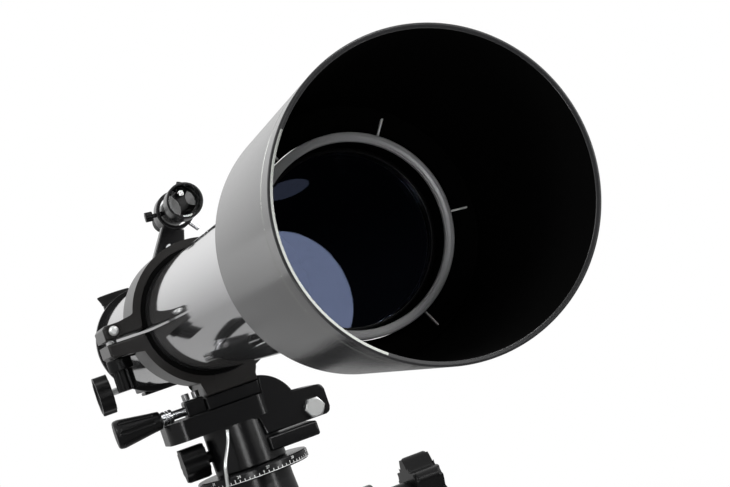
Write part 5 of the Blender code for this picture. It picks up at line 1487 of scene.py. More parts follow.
@dataclass
class SlowMotion(Assembly):
    """Saddle, bearing and the slow-motion shaft with its ferrule and fluted handle."""

    body: str = "head"
    shaft_r: float = 3 * MM
    shaft_y: float = -12 * MM
    shaft_rise: float = 5 * MM
    ferrule_r: float = 4.8 * MM
    ferrule_groove: float = 0.5 * MM
    groove_shares: tuple[float, float] = (0.62, 0.38)
    handle_small_r: float = 6 * MM
    handle_big_r: float = 10 * MM
    handle_end: float = 4 * MM
    handle_round: float = 6 * MM
    handle_draw: float = 0.6 * MM
    flutes: int = 8
    flute_r: float = 1.8 * MM
    flute_depth: float = 1.1 * MM
    flute_margins: tuple[float, float] = (3.5 * MM, 5 * MM)
    screw_r: float = 2.6 * MM
    screw_shank_r: float = 1.4 * MM
    slot_width: float = 0.8 * MM
    slot_depth: float = 1.2 * MM

    def build(self) -> None:
        """Builds the drive from the saddle outwards."""
        saddle = Extent.of("saddle_block")
        self.place = Facing.RIGHT.at(y=self.shaft_y, z=saddle.low.z - self.gap + self.shaft_rise)
        self.bore = self.shaft_r + self.gap
        shaft = Extent.of("slow_motion_shaft")
        piece = Form.block("saddle_casting", saddle.low, saddle.high, Edge.ROUND)
        Form.cut(piece, Form.bore(self.bore, 2 * saddle.low.x, shaft.high.x + self.gap, self.place))
        self.fit(piece, Look.CASTING, "saddle_block")
        self._bearing(3 * saddle.low.x)
        piece = Form.rod("plated_shaft", self.shaft_r, shaft.low.x, shaft.high.x, self.place, Facets.BOLT,
                         (Edge.CRISP, Edge.CRISP))
        self.fit(piece, Look.CHROME, "slow_motion_shaft", body="slow_motion")
        self._ferrule()
        self._handle(shaft.low.x)

    def _bearing(self, bore_start: float) -> None:
        """Builds the bearing block and its two screws.

        Args:
            bore_start: Where the shaft's bore starts.
        """
        bearing = Extent.of("slow_motion_bearing")
        piece = Form.block("bearing_block", bearing.low, bearing.high, Edge.FULL)
        cuts = [Form.bore(self.bore, bore_start, 0, self.place)]
        for index in (1, 2):
            screw = Extent.of(f"bearing_screw_{index}")
            spot = Facing.UP.at(screw.middle.x, screw.middle.y)
            cuts.append(self.hole(self.screw_shank_r, screw.low.z - self.gap, screw.high.z, spot))
            self._screw(index, screw, bearing.high.z + self.gap, spot)
        Form.cut(piece, *cuts)
        self.fit(piece, Look.CASTING, "slow_motion_bearing")

    def _screw(self, index: int, box: Extent, seat: float, spot: Matrix) -> None:
        """Builds one slotted cheese-head screw.

        Args:
            index: The screw's number.
            box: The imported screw's box.
            seat: Height of its head's underside.
            spot: Its place in the frame.
        """
        piece = Form.lathe(f"cheese_head_screw_{index}", [
            (0.0, box.high.z), (self.screw_r, box.high.z, Edge.EASED), (self.screw_r, seat, Edge.HAIR),
            (self.screw_shank_r, seat), (self.screw_shank_r, box.low.z), (0.0, box.low.z)], spot, Facets.PIN)
        half = self.slot_width / 2
        slot = Form.block("slot", (box.low.x - self.gap, box.middle.y - half, box.high.z - self.slot_depth),
                          (box.high.x + self.gap, box.middle.y + half, box.high.z + self.gap))
        Form.cut(piece, slot)
        self.fit(piece, Look.TURNED, f"bearing_screw_{index}")

    def _ferrule(self) -> None:
        """Builds the chrome ferrule with two turned grooves."""
        box = Extent.of("slow_motion_ferrule")
        low, high = box.low.x, box.high.x
        radius, groove = self.ferrule_r, self.ferrule_groove
        root = radius - groove
        profile: list[Point] = [(root, high, groove), (radius, high - 2 * groove, groove)]
        for share in self.groove_shares:
            middle = low + (high - low) * share
            profile += [(radius, middle + groove), (root, middle), (radius, middle - groove)]
        profile += [(radius, low + groove, groove), (root, low), (self.bore, low), (self.bore, high)]
        piece = Form.lathe("grooved_ferrule", profile, self.place, Facets.KNOB)
        self.fit(piece, Look.CHROME, "slow_motion_ferrule", body="slow_motion")

    def _handle(self, shaft_start: float) -> None:
        """Builds the tapered handle and cuts its flutes.

        Args:
            shaft_start: Where the shaft starts inside it.
        """
        box = Extent.of("slow_motion_handle")
        low, high = box.low.x, box.high.x
        handle = Form.lathe("fluted_handle", [
            (0.0, high), (self.handle_small_r, high, Edge.BROAD),
            (self.handle_big_r, low + self.handle_end, self.handle_round),
            (self.handle_big_r - self.handle_draw, low, Edge.WIDE), (0.0, low)], self.place, Facets.COLUMN)
        slope = math.atan2(self.handle_big_r - self.handle_small_r, high - low)
        start = low + self.flute_margins[0]
        length = high - self.flute_margins[1] - start
        out = Matrix.Translation((self.handle_big_r + self.flute_r - self.flute_depth, 0, start))
        tilt = Matrix.Rotation(-slope, 4, "Y")
        radius = self.flute_r
        flute = Form.lathe("flutes", [
            (0.0, length + radius), (radius, length, radius), (radius, 0.0, radius), (0.0, -radius)],
            out @ tilt, Facets.FLUTE)
        flutes = RadialRepeat.make(flute, self.flutes, Look.PLASTIC, self.place)
        Form.cut(handle, flutes, Form.bore(self.bore, shaft_start - self.gap, 2 * self.gap, self.place))
        self.fit(handle, Look.PLASTIC, "slow_motion_handle", body="slow_motion")


@dataclass
class Pillar(Assembly):
    """Column on its cross barrel, and the setting circle with its scale."""

    body: str = "pillar"
    spindle_r: float = 12 * MM
    top_r: float = 25 * MM
    top_round: float = 4 * MM
    foot_r: float = 27 * MM
    barrel_r: float = 20 * MM
    bolt_r: float = 6 * MM
    chamfer: float = 0.8 * MM
    line_rise: float = 0.1 * MM
    line_width: float = 0.35 * MM
    mark_root: float = 0.2 * MM
    ticks: tuple[tuple[str, int, float, float], ...] = (
        ("short_ticks", 72, 0.5 * MM, 1.5 * MM), ("long_ticks", 12, 0.7 * MM, 2.4 * MM))
    proud: float = 0.08 * MM
    numerals: int = 12
    numeral_step: int = 3
    numeral_turn: float = math.radians(5)
    numeral_height: float = 1.9 * MM
    type_size: float = 2.66 * MM

    def build(self) -> None:
        """Builds the column, the circle and the marks on it."""
        self._column()
        self._circle()

    def _column(self) -> None:
        """Turned column with a spindle above and the tilt barrel below."""
        box = Extent.of("pillar_column")
        pivot = Extent.of("tilt_bolt").middle.z
        circle = Extent.of("setting_circle")
        top = circle.low.z - self.gap
        across = Facing.RIGHT.at(z=pivot)
        column = Form.lathe("turned_column", [
            (0.0, box.high.z), (self.spindle_r, box.high.z, Edge.EASED), (self.spindle_r, top),
            (self.top_r, top, Edge.SOFT), (self.top_r, top - circle.size.z, self.top_round),
            (self.foot_r, pivot + self.barrel_r / 2), (self.foot_r, pivot), (0.0, pivot)], Facing.UP.at(),
            Facets.COLUMN)
        half = box.radius
        barrel = Form.rod("barrel", self.barrel_r, -half, half, across, Facets.COLUMN,
                          (Edge.WIDE, Edge.WIDE))
        Form.join(column, barrel)
        Form.cut(column, self.hole(self.bolt_r, -2 * half, 2 * half, across))
        self.fit(column, Look.CASTING, "pillar_column")

    def _circle(self) -> None:
        """Black circle with a white line, ticks of five degrees and numbers every thirty."""
        box = Extent.of("setting_circle")
        radius, low, high = box.radius, box.low.z, box.high.z
        edge = self.chamfer
        bore = self.spindle_r + self.gap
        piece = Form.lathe("setting_circle_disc", [
            (radius - edge, high, edge / 3), (radius, high - edge, edge / 3), (radius, low + edge, edge / 3),
            (radius - edge, low, edge / 3), (bore, low), (bore, high)], Facing.UP.at(), Facets.CIRCLE)
        self.fit(piece, Look.CASTING, "setting_circle")
        root = radius - self.mark_root
        face = radius + self.proud
        line_z = low + edge + self.line_rise
        foot = line_z + self.line_width
        line = Form.sleeve("circle_base_line", (face, root), line_z, foot, Facing.UP.at(), Facets.CIRCLE)
        self.fit(line, Look.MARKING)
        for name, count, width, height in self.ticks:
            tick = Form.block(f"circle_{name}", (root, -width / 2, foot), (face, width / 2, foot + height))
            ring = RadialRepeat.make(tick, count, Look.MARKING, Facing.UP.at())
            self.fit(ring, Look.MARKING)
        for index in range(self.numerals):
            angle = 2 * math.pi * index / self.numerals + self.numeral_turn
            self._numeral(index * self.numeral_step, angle, face, high - edge - self.numeral_height)

    def _numeral(self, value: int, angle: float, radius: float, foot: float) -> None:
        """Puts one printed number on the rim.

        Args:
            value: The number.
            angle: Where it stands round the rim.
            radius: How far out its face lies.
            foot: Height of its foot.
        """
        name = f"circle_number_{value}"
        data = bpy.data.curves.new(name, "FONT")
        data.body = str(value)
        data.size = self.type_size
        data.extrude = self.proud
        data.align_x = "CENTER"
        text = Form.link(name, data)
        mesh = Form.evaluated(text)
        bpy.data.objects.remove(text)
        mesh.transform(Matrix.Rotation(angle + math.pi / 2, 4, "Z") @ Facing.SECTION.at(y=-radius, z=foot))
        self.fit(Form.link(name, mesh), Look.MARKING)


@dataclass
class Base(Assembly):
    """Round flange with its yoke, the tilt bolt and the hand knob."""

    body: str = "base"
    flange_r: float = 50 * MM
    flange_height: float = 10 * MM
    yoke_inner: float = 60.3 * MM
    yoke_outer: float = 74.3 * MM
    yoke_depth: float = 36 * MM
    yoke_floor: float = 22 * MM
    yoke_corner: float = 22 * MM
    corner_steps: int = 12
    hole_pcd: float = 80 * MM
    hole_r: float = 3.3 * MM
    hole_angles: tuple[int, ...] = (60, 120, 240, 300)
    bolt_r: float = 6 * MM
    bolt_head_r: float = 11 * MM
    hub_r: float = 11 * MM
    cap_depths: tuple[float, float] = (1 * MM, 0.6 * MM)
    cap_inner_share: float = 0.8
    knob_r: float = 27 * MM
    knob_length: float = 20 * MM
    knob_edge: float = 3 * MM
    lobes: int = 6
    lobe_steps: int = 24
    knob_segments: int = 5
    lobe_depth: float = 7 * MM

    def build(self) -> None:
        """Builds the yoke, its bolt and the knob."""
        bolt = Extent.of("tilt_bolt")
        self.pivot = bolt.middle.z
        self.across = Facing.RIGHT.at(z=self.pivot)
        self._yoke()
        head = bolt.low.x, -self.yoke_outer - self.gap
        piece = hex_bolt("tilt_hexagon_bolt", self.bolt_head_r, head, self.bolt_r, bolt.high.x, self.across)
        self.fit(piece, Look.ZINC, "tilt_bolt")
        self._knob(bolt.high.x)

    def _arms(self) -> Outline:
        """Gives the outline of the yoke's floor and its two arms.

        Returns:
            The outline.
        """
        outer, inner, corner, steps = self.yoke_outer, self.yoke_inner, self.yoke_corner, self.corner_steps
        floor = self.flange_height / 2
        inside = corner - (outer - inner)
        outline = [(-outer, self.pivot)]
        outline += arc(corner - outer, floor + corner, corner, 180, 270, steps)
        outline += arc(outer - corner, floor + corner, corner, 270, 360, steps)
        outline += [(outer, self.pivot), (inner, self.pivot)]
        outline += arc(inner - inside, self.yoke_floor + inside, inside, 360, 270, steps)
        outline += arc(inside - inner, self.yoke_floor + inside, inside, 270, 180, steps)
        return [*outline, (-inner, self.pivot)]

    def _yoke(self) -> None:
        """U-shaped yoke on a bolted flange."""
        outer, inner = self.yoke_outer, self.yoke_inner
        half = self.yoke_depth / 2
        edge = Edge.FULL
        yoke = Form.rod("yoke_casting", self.flange_r, 0.0, self.flange_height, Facing.UP.at(), Facets.CELL,
                        (edge / 2, edge))
        arms = Form.prism("arms", self._arms(), -half, half, Facing.SECTION.at(), edge)
        ears = [Form.rod("ear", half, low, high, self.across, Facets.COLUMN, (edge, edge))
                for low, high in ((-outer, -inner), (inner, outer))]
        Form.join(yoke, arms, *ears)
        cuts = [self.hole(self.bolt_r, -2 * outer, 2 * outer, self.across)]
        for degrees in self.hole_angles:
            angle = math.radians(degrees)
            spot = Facing.UP.at(self.hole_pcd / 2 * math.cos(angle), self.hole_pcd / 2 * math.sin(angle))
            cuts.append(Form.bore(self.hole_r, -self.flange_height, 2 * self.flange_height, spot))
        Form.cut(yoke, *cuts)
        self.fit(yoke, Look.CASTING, "base_yoke")

    def _knob(self, thread_end: float) -> None:
        """Six-lobed hand knob on a hub.

        Args:
            thread_end: Where the bolt ends.
        """
        box = Extent.of("tilt_knob")
        face = box.high.x
        rim = face - self.knob_length
        outline = lobed(self.knob_r, self.lobe_depth, self.lobes, self.lobe_steps)
        knob = Form.prism("six_lobed_hand_knob", outline, rim, face, self.across, self.knob_edge,
                          self.knob_segments)
        hub = Form.rod("hub", self.hub_r, box.low.x, rim + self.knob_edge, self.across, Facets.KNOB,
                       (Edge.SOFT, 0.0))
        front, foot, middle = face + self.gap, face - self.cap_depths[0], face - self.cap_depths[1]
        cap = Form.lathe("cap", [
            (0.0, front), (self.hub_r, front), (self.hub_r, foot, Edge.CRISP),
            (self.hub_r * self.cap_inner_share, foot), (0.0, middle)], self.across, Facets.KNOB)
        Form.join(knob, hub)
        thread = self.hole(self.bolt_r, box.low.x - self.hub_r, thread_end + self.gap, self.across)
        Form.cut(knob, cap, thread)
        self.fit(knob, Look.PLASTIC, "tilt_knob", body="tilt_clamp")


@dataclass
class Focuser(ThumbScrews):
    """Rack-and-pinion focuser: housing, cover, knobs, drawtube, adapter and screws."""

    flange_r: float = 45 * MM
    flange_length: float = 8 * MM
    flange_chamfer: float = 1 * MM
    taper_length: float = 34 * MM
    taper_round: float = 6 * MM
    barrel_r: float = 29.8 * MM
    drawtube_bore: float = 25.3 * MM
    spigot_r: float = 39.5 * MM
    spigot_wall: float = 2 * MM
    box_half: float = 17 * MM
    box_inset: float = 1 * MM
    bore_overlap: float = 1 * MM
    rack_half: float = 4 * MM
    pinion_r: float = 3 * MM
    pinion_pocket: float = 6.6 * MM
    knob_r: float = 17.5 * MM
    knob_ribs: int = 9
    rib_steps: int = 16
    knob_edge: float = 0.9 * MM
    knob_rim: float = 3.5 * MM
    dish_depth: float = 1.6 * MM
    rib_depth: float = 1.6 * MM
    push_bore: float = 16.15 * MM
    drawtube_wall: float = 1.5 * MM
    groove: float = 1 * MM
    groove_shares: tuple[float, float] = (0.8, 0.2)
    lock_r: float = 2.5 * MM
    lock_knob_r: float = 6 * MM
    lock_reach: float = 3 * MM

    def build(self) -> None:
        """Builds the focuser."""
        self._housing()
        for side in ("left", "right"):
            self._knob(f"focus_knob_{side}")
        self._drawtube()

    def _housing(self) -> None:
        """Tapered housing with the pinion box under it, its cover and the lock screw."""
        box = Extent.of("focuser_body")
        pivot = Extent.of("pinion_shaft").middle
        cover = Extent.of("pinion_cover")
        rack = Extent.of("drawtube_rack")
        screw = Extent.of("focus_lock_screw")
        start = Extent.of("main_tube").high.y + self.gap
        flange_end = start + self.flange_length
        taper_end = flange_end + self.taper_length
        end = box.high.y
        bore = self.spigot_r - self.spigot_wall
        chamfer = self.flange_chamfer
        housing = Form.lathe("focuser_housing", [
            (self.barrel_r, end, Edge.SOFT), (self.barrel_r, taper_end, self.taper_round),
            (self.flange_r - chamfer, flange_end, Edge.BROAD),
            (self.flange_r, flange_end - chamfer, Edge.BROKEN), (self.flange_r, start, Edge.BROKEN),
            (self.spigot_r, start), (self.spigot_r, box.low.y), (bore, box.low.y), (bore, flange_end),
            (self.drawtube_bore, taper_end), (self.drawtube_bore, end)], self.along, Facets.CELL)
        foot = cover.high.z + self.gap
        box_corner = (self.box_half, end - self.box_inset, self.axis_z - self.drawtube_bore)
        case = Form.block("pinion_box", (-self.box_half, cover.low.y, foot), box_corner, Edge.FULL)
        Form.join(housing, case)
        far = end + self.barrel_r
        lock_place = Facing.UP.at(0, screw.middle.y)
        Form.cut(
            housing,
            Form.bore(self.drawtube_bore, taper_end - self.bore_overlap, far, self.along),
            Form.block("rack_channel", (-self.rack_half, start, rack.low.z - self.gap),
                       (self.rack_half, far, self.axis_z)),
            Form.block("pinion_pocket",
                       (-self.rack_half, pivot.y - self.pinion_pocket, foot - self.pinion_r),
                       (self.rack_half, pivot.y + self.pinion_pocket, self.axis_z)),
            self.hole(self.pinion_r, -self.box_half * 2, self.box_half * 2,
                      Facing.RIGHT.at(0, pivot.y, pivot.z)),
            self.hole(self.lock_r, self.axis_z, screw.high.z, lock_place))
        self.fit(housing, Look.PLASTIC, "focuser_body")
        piece = Form.block("pinion_box_cover", cover.low, cover.high, Edge.SOFT)
        self.fit(piece, Look.PLASTIC, "pinion_cover")
        self.add("focus_lock_screw", "focus_lock", self.lock_r, screw.low.z,
                 (self.axis_z + self.barrel_r + self.lock_reach, screw.high.z), self.lock_knob_r, lock_place)

    def _knob(self, node: str) -> None:
        """Ribbed knob with a dished face.

        Args:
            node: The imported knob.
        """
        box = Extent.of(node)
        shaft = Extent.of("pinion_shaft")
        middle = box.middle
        place = Facing.RIGHT.at(0, middle.y, middle.z)
        outline = lobed(self.knob_r, self.rib_depth, self.knob_ribs, self.rib_steps)
        knob = Form.prism(f"ribbed_{node}", outline, box.low.x, box.high.x, place, self.knob_edge)
        if middle.x > 0:
            face, turn = box.high.x, Matrix.Identity(4)
            low, high = box.low.x - self.pinion_r, shaft.high.x + self.gap
        else:
            face, turn = box.low.x, Matrix.Rotation(math.pi, 4, "Y")
            low, high = shaft.low.x - self.gap, box.high.x + self.pinion_r
        rim = self.knob_r - self.knob_rim
        depth = self.dish_depth
        dish = Form.lathe("dish", [
            (0.0, depth), (rim, depth), (rim, 0.0, Edge.EASED), (rim - depth, -depth, depth), (0.0, -depth)],
            Facing.RIGHT.at(face, middle.y, middle.z) @ turn, Facets.KNOB)
        Form.cut(knob, dish, self.hole(self.pinion_r, low, high, place))
        self.fit(knob, Look.PLASTIC, node, body="pinion")

    def _drawtube(self) -> None:
        """Plated drawtube and the adapter at its end."""
        box = Extent.of("drawtube")
        bore = box.radius - self.drawtube_wall
        tube = Form.sleeve("plated_drawtube", (box.radius, bore), box.low.y, box.high.y, self.along,
                           Facets.COLUMN, (Edge.CRISP, 0.0))
        self.fit(tube, Look.DRAWTUBE, "drawtube", body="drawtube")
        middle = box.radius - self.drawtube_wall / 2
        self.paint(tube, Look.FLAT_BLACK, lambda centre: self.distance(centre) < middle)
        adapter = Extent.of("drawtube_adapter")
        radius, groove = adapter.radius, self.groove
        low, start, end = adapter.low.y, box.high.y + self.gap, adapter.high.y
        profile: list[Point] = [(radius, end, Edge.ROUND)]
        for share in self.groove_shares:
            at = start + (end - start) * share
            profile += [(radius, at + groove), (radius - groove, at), (radius, at - groove)]
        profile += [(radius, start, Edge.EASED), (bore - self.gap, start), (bore - self.gap, low),
                    (self.push_bore, low), (self.push_bore, end)]
        piece = Form.lathe("grooved_adapter", profile, self.along, Facets.COLUMN)
        screw = Extent.of("adapter_set_screw")
        hole = Facing.UP.at(0, screw.middle.y)
        Form.cut(piece, self.hole(self.small_screw_r, self.axis_z, screw.high.z, hole))
        self.fit(piece, Look.PLASTIC, "drawtube_adapter", body="drawtube")
        self.add("adapter_set_screw", "adapter_screw", self.small_screw_r, screw.low.z,
                 (self.axis_z + radius + self.small_reach, screw.high.z), self.small_knob_r, hole)


@dataclass
class Diagonal(ThumbScrews):
    """Star diagonal with its prism, and the eyepiece standing in it."""

    body: str = "eyepiece"
    size: float = 38 * MM
    cut: float = 14 * MM
    nose_r: float = 15.85 * MM
    nose_wall: float = 2.5 * MM
    tube_r: float = 18.5 * MM
    prism_leg: float = 24 * MM
    insert: float = 12 * MM
    flange_height: float = 1.2 * MM
    barrel_wall: float = 1.5 * MM
    waist_r: float = 12.5 * MM
    waist_step: float = 1 * MM
    waist_rise: float = 3 * MM
    lens_lip: float = 1.5 * MM
    cup_r: float = 15.5 * MM
    cup_height: float = 9 * MM
    cup_rim: float = 1 * MM
    cup_flare: float = 3 * MM
    cup_round: float = 4 * MM
    eye_lens_r: float = 8 * MM
    eye_lens_edge: float = 2.5 * MM
    eye_lens_curve: float = 22 * MM
    eye_lens_rings: int = 10

    def build(self) -> None:
        """Builds the diagonal and the eyepiece."""
        self.eye_y = Extent.of("diagonal_prism").middle.y
        self.eye = Facing.UP.at(0, self.eye_y)
        self.tube_top = Extent.of("eyepiece_barrel").high.z - self.flange_height - self.gap
        self._body()
        self._eyepiece()

    def _body(self) -> None:
        """Moulded box with a nose, an eyepiece tube, a sloping back and its set screw."""
        half = self.size / 2
        gap = self.gap
        side = Facing.SIDE.at(z=self.axis_z)
        low, high = self.eye_y - half, self.eye_y + half
        cut = self.cut
        outline = [(low, -half), (high - cut, -half), (high, cut - half), (high, half), (low, half)]
        body = Form.prism("diagonal_housing", outline, -half, half, side, Edge.BROAD)
        nose_start = Extent.of("diagonal_body").low.y
        nose = Form.rod("nose", self.nose_r, nose_start, low + self.nose_wall, self.along, Facets.EYEPIECE,
                        (Edge.BROKEN, 0.0))
        top = self.tube_top
        tube = Form.rod("tube", self.tube_r, self.axis_z + half - self.nose_wall, top, self.eye,
                        Facets.EYEPIECE, (0.0, Edge.ROUND))
        Form.join(body, nose, tube)
        prism = Extent.of("diagonal_prism")
        leg, wall = self.prism_leg / 2, self.nose_wall
        seat = top - self.insert - gap
        spare = gap * (1 + math.sqrt(2))
        front = prism.low.y - gap
        pocket = [(front, -leg - spare), (prism.high.y + spare, leg + gap), (front, leg + gap)]
        screw = Extent.of("diagonal_set_screw")
        rear = Facing.BACK.at(0, self.eye_y, screw.middle.z)
        Form.cut(
            body,
            Form.prism("pocket", pocket, -leg - gap, leg + gap, side),
            Form.bore(self.nose_r - wall, nose_start - self.nose_r, prism.low.y, self.along),
            Form.bore(leg - wall / 2, prism.high.z - wall, seat + wall, self.eye),
            self.hole(self.nose_r, seat, top + self.nose_r, self.eye),
            self.hole(self.small_screw_r, 0.0, 2 * self.tube_r, rear))
        self.fit(body, Look.PLASTIC, "diagonal_body", body="diagonal")
        self.add("diagonal_set_screw", "diagonal_screw", self.small_screw_r, self.nose_r + gap,
                 (self.tube_r + self.small_reach, screw.high.y - self.eye_y), self.small_knob_r, rear)

    def _eyepiece(self) -> None:
        """Chrome barrel, black housing, eye lens and rubber cup."""
        gap = self.gap
        barrel = Extent.of("eyepiece_barrel")
        housing = Extent.of("eyepiece_housing")
        cup = Extent.of("eyecup")
        rest = self.tube_top + gap
        bore = self.nose_r - self.barrel_wall
        piece = Form.lathe("plated_eyepiece_barrel", [
            (barrel.radius, barrel.high.z, Edge.SHARP), (barrel.radius, rest, Edge.SHARP),
            (self.nose_r, rest), (self.nose_r, barrel.low.z, Edge.CRISP), (bore, barrel.low.z),
            (bore, barrel.high.z)], self.eye, Facets.EYEPIECE)
        self.fit(piece, Look.CHROME, "eyepiece_barrel")
        base = barrel.high.z + gap
        step, lip = self.waist_step, self.lens_lip
        neck = self.waist_r - step
        shoulder = self.nose_r - step
        foot = cup.high.z - self.cup_height
        lens_bore = self.eye_lens_r + gap
        inner = lens_bore + step
        seat_r = self.eye_lens_r - lip
        piece = Form.lathe("eyepiece_body", [
            (neck, housing.high.z), (neck, foot), (self.waist_r, foot, Edge.CRISP),
            (self.waist_r, base + self.waist_rise, Edge.WIDE), (shoulder, base + step, Edge.BROKEN),
            (shoulder, base), (bore - gap, base), (bore - gap, housing.low.z), (inner, housing.low.z),
            (inner, foot - lip), (seat_r, foot), (seat_r, foot + lip), (lens_bore, foot + lip),
            (lens_bore, housing.high.z)], self.eye, Facets.EYEPIECE)
        self.fit(piece, Look.PLASTIC, "eyepiece_housing")
        profile = lens_profile(self.eye_lens_r, foot + lip + gap, self.eye_lens_edge,
                               (0.0, self.eye_lens_curve), self.eye_lens_rings)
        piece = Form.lathe("eye_lens_glass", profile, self.eye, Facets.KNOB)
        self.fit(piece, Look.PLAIN_GLASS, "eyepiece_lens")
        rim, top = self.cup_rim, cup.high.z
        piece = Form.lathe("rubber_eyecup", [
            (self.cup_r, top, rim), (self.cup_r, top - rim, rim),
            (self.waist_r + rim, foot + self.cup_flare, self.cup_round),
            (self.waist_r + rim / 2, foot + gap, Edge.SHARP), (neck + gap, foot + gap),
            (neck + gap, top - rim), (self.cup_r - 2 * rim, top, rim / 2)], self.eye, Facets.EYEPIECE)
        self.fit(piece, Look.RUBBER, "eyecup")


@dataclass
class Finder(ThumbScrews):
    """Finder telescope in its bracket, in a frame turned from straight up towards +X."""

    turn: float = math.radians(25)
    offset: float = 100 * MM
    front_y: float = 150 * MM
    cell_r: float = 14.5 * MM
    cell_length: float = 24 * MM
    cell_taper: float = 3 * MM
    cell_groove: float = 0.5 * MM
    cell_groove_y: float = 5 * MM
    cell_rim: float = 0.9 * MM
    barrel_r: float = 11 * MM
    barrel_length: float = 86 * MM
    wall: float = 1.5 * MM
    glass_r: float = 12.4 * MM
    glass_edge: float = 2.5 * MM
    glass_curve: float = 60 * MM
    glass_depth: float = 8 * MM
    glass_rings: int = 10
    eye_r: float = 10 * MM
    eye_length: float = 22 * MM
    eye_bore: float = 5 * MM
    eye_grooves: int = 5
    eye_groove_step: float = 3 * MM
    eye_groove_half: float = 0.7 * MM
    eye_groove_depth: float = 0.6 * MM
    ring_y: float = 215 * MM
    ring_length: float = 18 * MM
    ring_bore: float = 12.8 * MM
    ring_r: float = 15.8 * MM
    stalk_top: float = 18 * MM
    stalk_foot: float = 30 * MM
    stalk_depth: float = 16 * MM
    stalk_sink: float = 2 * MM
    foot_width: float = 34 * MM
    foot_length: float = 44 * MM
    foot_height: float = 5 * MM
    foot_inner: float = 41.3 * MM
    foot_steps: int = 16
    nut_r: float = 4.8 * MM
    nut_height: float = 5 * MM
    nut_skirt: float = 1.5 * MM
    nut_steps: int = 8
    nut_offset: float = 68 * MM
    screw_degrees: tuple[tuple[str, str, float], ...] = (
        ("finder_screw_side", "finder_side_screw", 200.0), ("finder_screw_top", "finder_top_screw", 82.0))
    screw_r: float = 1.8 * MM
    screw_knob_r: float = 4 * MM
    screw_reach: float = 2.5 * MM
    screw_knob_length: float = 6 * MM
    pin_degrees: float = 332.0
    pin_r: float = 2.2 * MM
    pin_reach: float = 9 * MM

    def build(self) -> None:
        """Builds the finder and its bracket."""
        self.frame = Matrix.Translation((0, 0, self.axis_z)) @ Matrix.Rotation(self.turn, 4, "Y")
        self.axis = self.frame @ Matrix.Translation((0, 0, self.offset))
        self.sight = self.axis @ Facing.BACK.at()
        self._tube()
        self._eyepiece()
        self._bracket()
        self._fixings()

    @property
    def barrel_end(self) -> float:
        """Where the barrel ends along the finder's axis."""
        return self.front_y + self.cell_length + self.barrel_length

    def spoke(self, degrees: float) -> Matrix:
        """Gives the place of a screw that points at the finder's axis from an angle round it."""
        angle = math.pi / 2 - math.radians(degrees)
        return self.axis @ Matrix.Translation((0, self.ring_y, 0)) @ Matrix.Rotation(angle, 4, "Y")

    def _tube(self) -> None:
        """Objective cell, barrel and glass."""
        front, end = self.front_y, self.barrel_end
        cell_end = front + self.cell_length
        glass_y = front + self.glass_depth
        seat = glass_y + self.glass_edge + self.gap
        bore = self.barrel_r - self.wall
        glass_bore = self.glass_r + self.gap
        groove = self.cell_groove
        groove_y = front + self.cell_groove_y
        tube = Form.lathe("finder_barrel", [
            (self.barrel_r, end, Edge.CRISP), (self.barrel_r, cell_end, Edge.ROUND),
            (self.cell_r, cell_end - self.cell_taper, Edge.ROUND),
            (self.cell_r, groove_y + groove, Edge.HAIR), (self.cell_r - groove, groove_y, Edge.HAIR),
            (self.cell_r, groove_y - groove, Edge.HAIR), (self.cell_r, front, self.cell_rim),
            (glass_bore, front, Edge.SHARP), (glass_bore, seat), (bore, seat), (bore, end)], self.sight,
            Facets.COLUMN)
        self.fit(tube, Look.CASTING, "finder_tube")
        profile = lens_profile(self.glass_r, glass_y, self.glass_edge, (self.glass_curve, 0.0),
                               self.glass_rings)
        glass = Form.lathe("finder_glass", profile, self.sight, Facets.EYEPIECE)
        self.fit(glass, Look.PLAIN_GLASS, "finder_objective")

    def _eyepiece(self) -> None:
        """Grooved eyepiece that turns to focus."""
        start = self.barrel_end + self.gap
        stop = start + self.eye_length
        plug_r = self.barrel_r - self.wall - self.gap
        plug = start - self.eye_r
        radius, half = self.eye_r, self.eye_groove_half
        profile: list[Point] = [(radius, stop, Edge.FULL)]
        for step in range(self.eye_grooves):
            at = stop - (1 + step) * self.eye_groove_step
            profile += [(radius, at + half), (radius - self.eye_groove_depth, at), (radius, at - half)]
        profile += [(radius, start, Edge.BROKEN), (plug_r, start), (plug_r, plug), (self.eye_bore, plug),
                    (self.eye_bore, stop, Edge.ROUND)]
        eye = Form.lathe("grooved_finder_eyepiece", profile, self.sight, Facets.EYEPIECE)
        self.fit(eye, Look.PLASTIC, "finder_eyepiece", body="finder_focus")

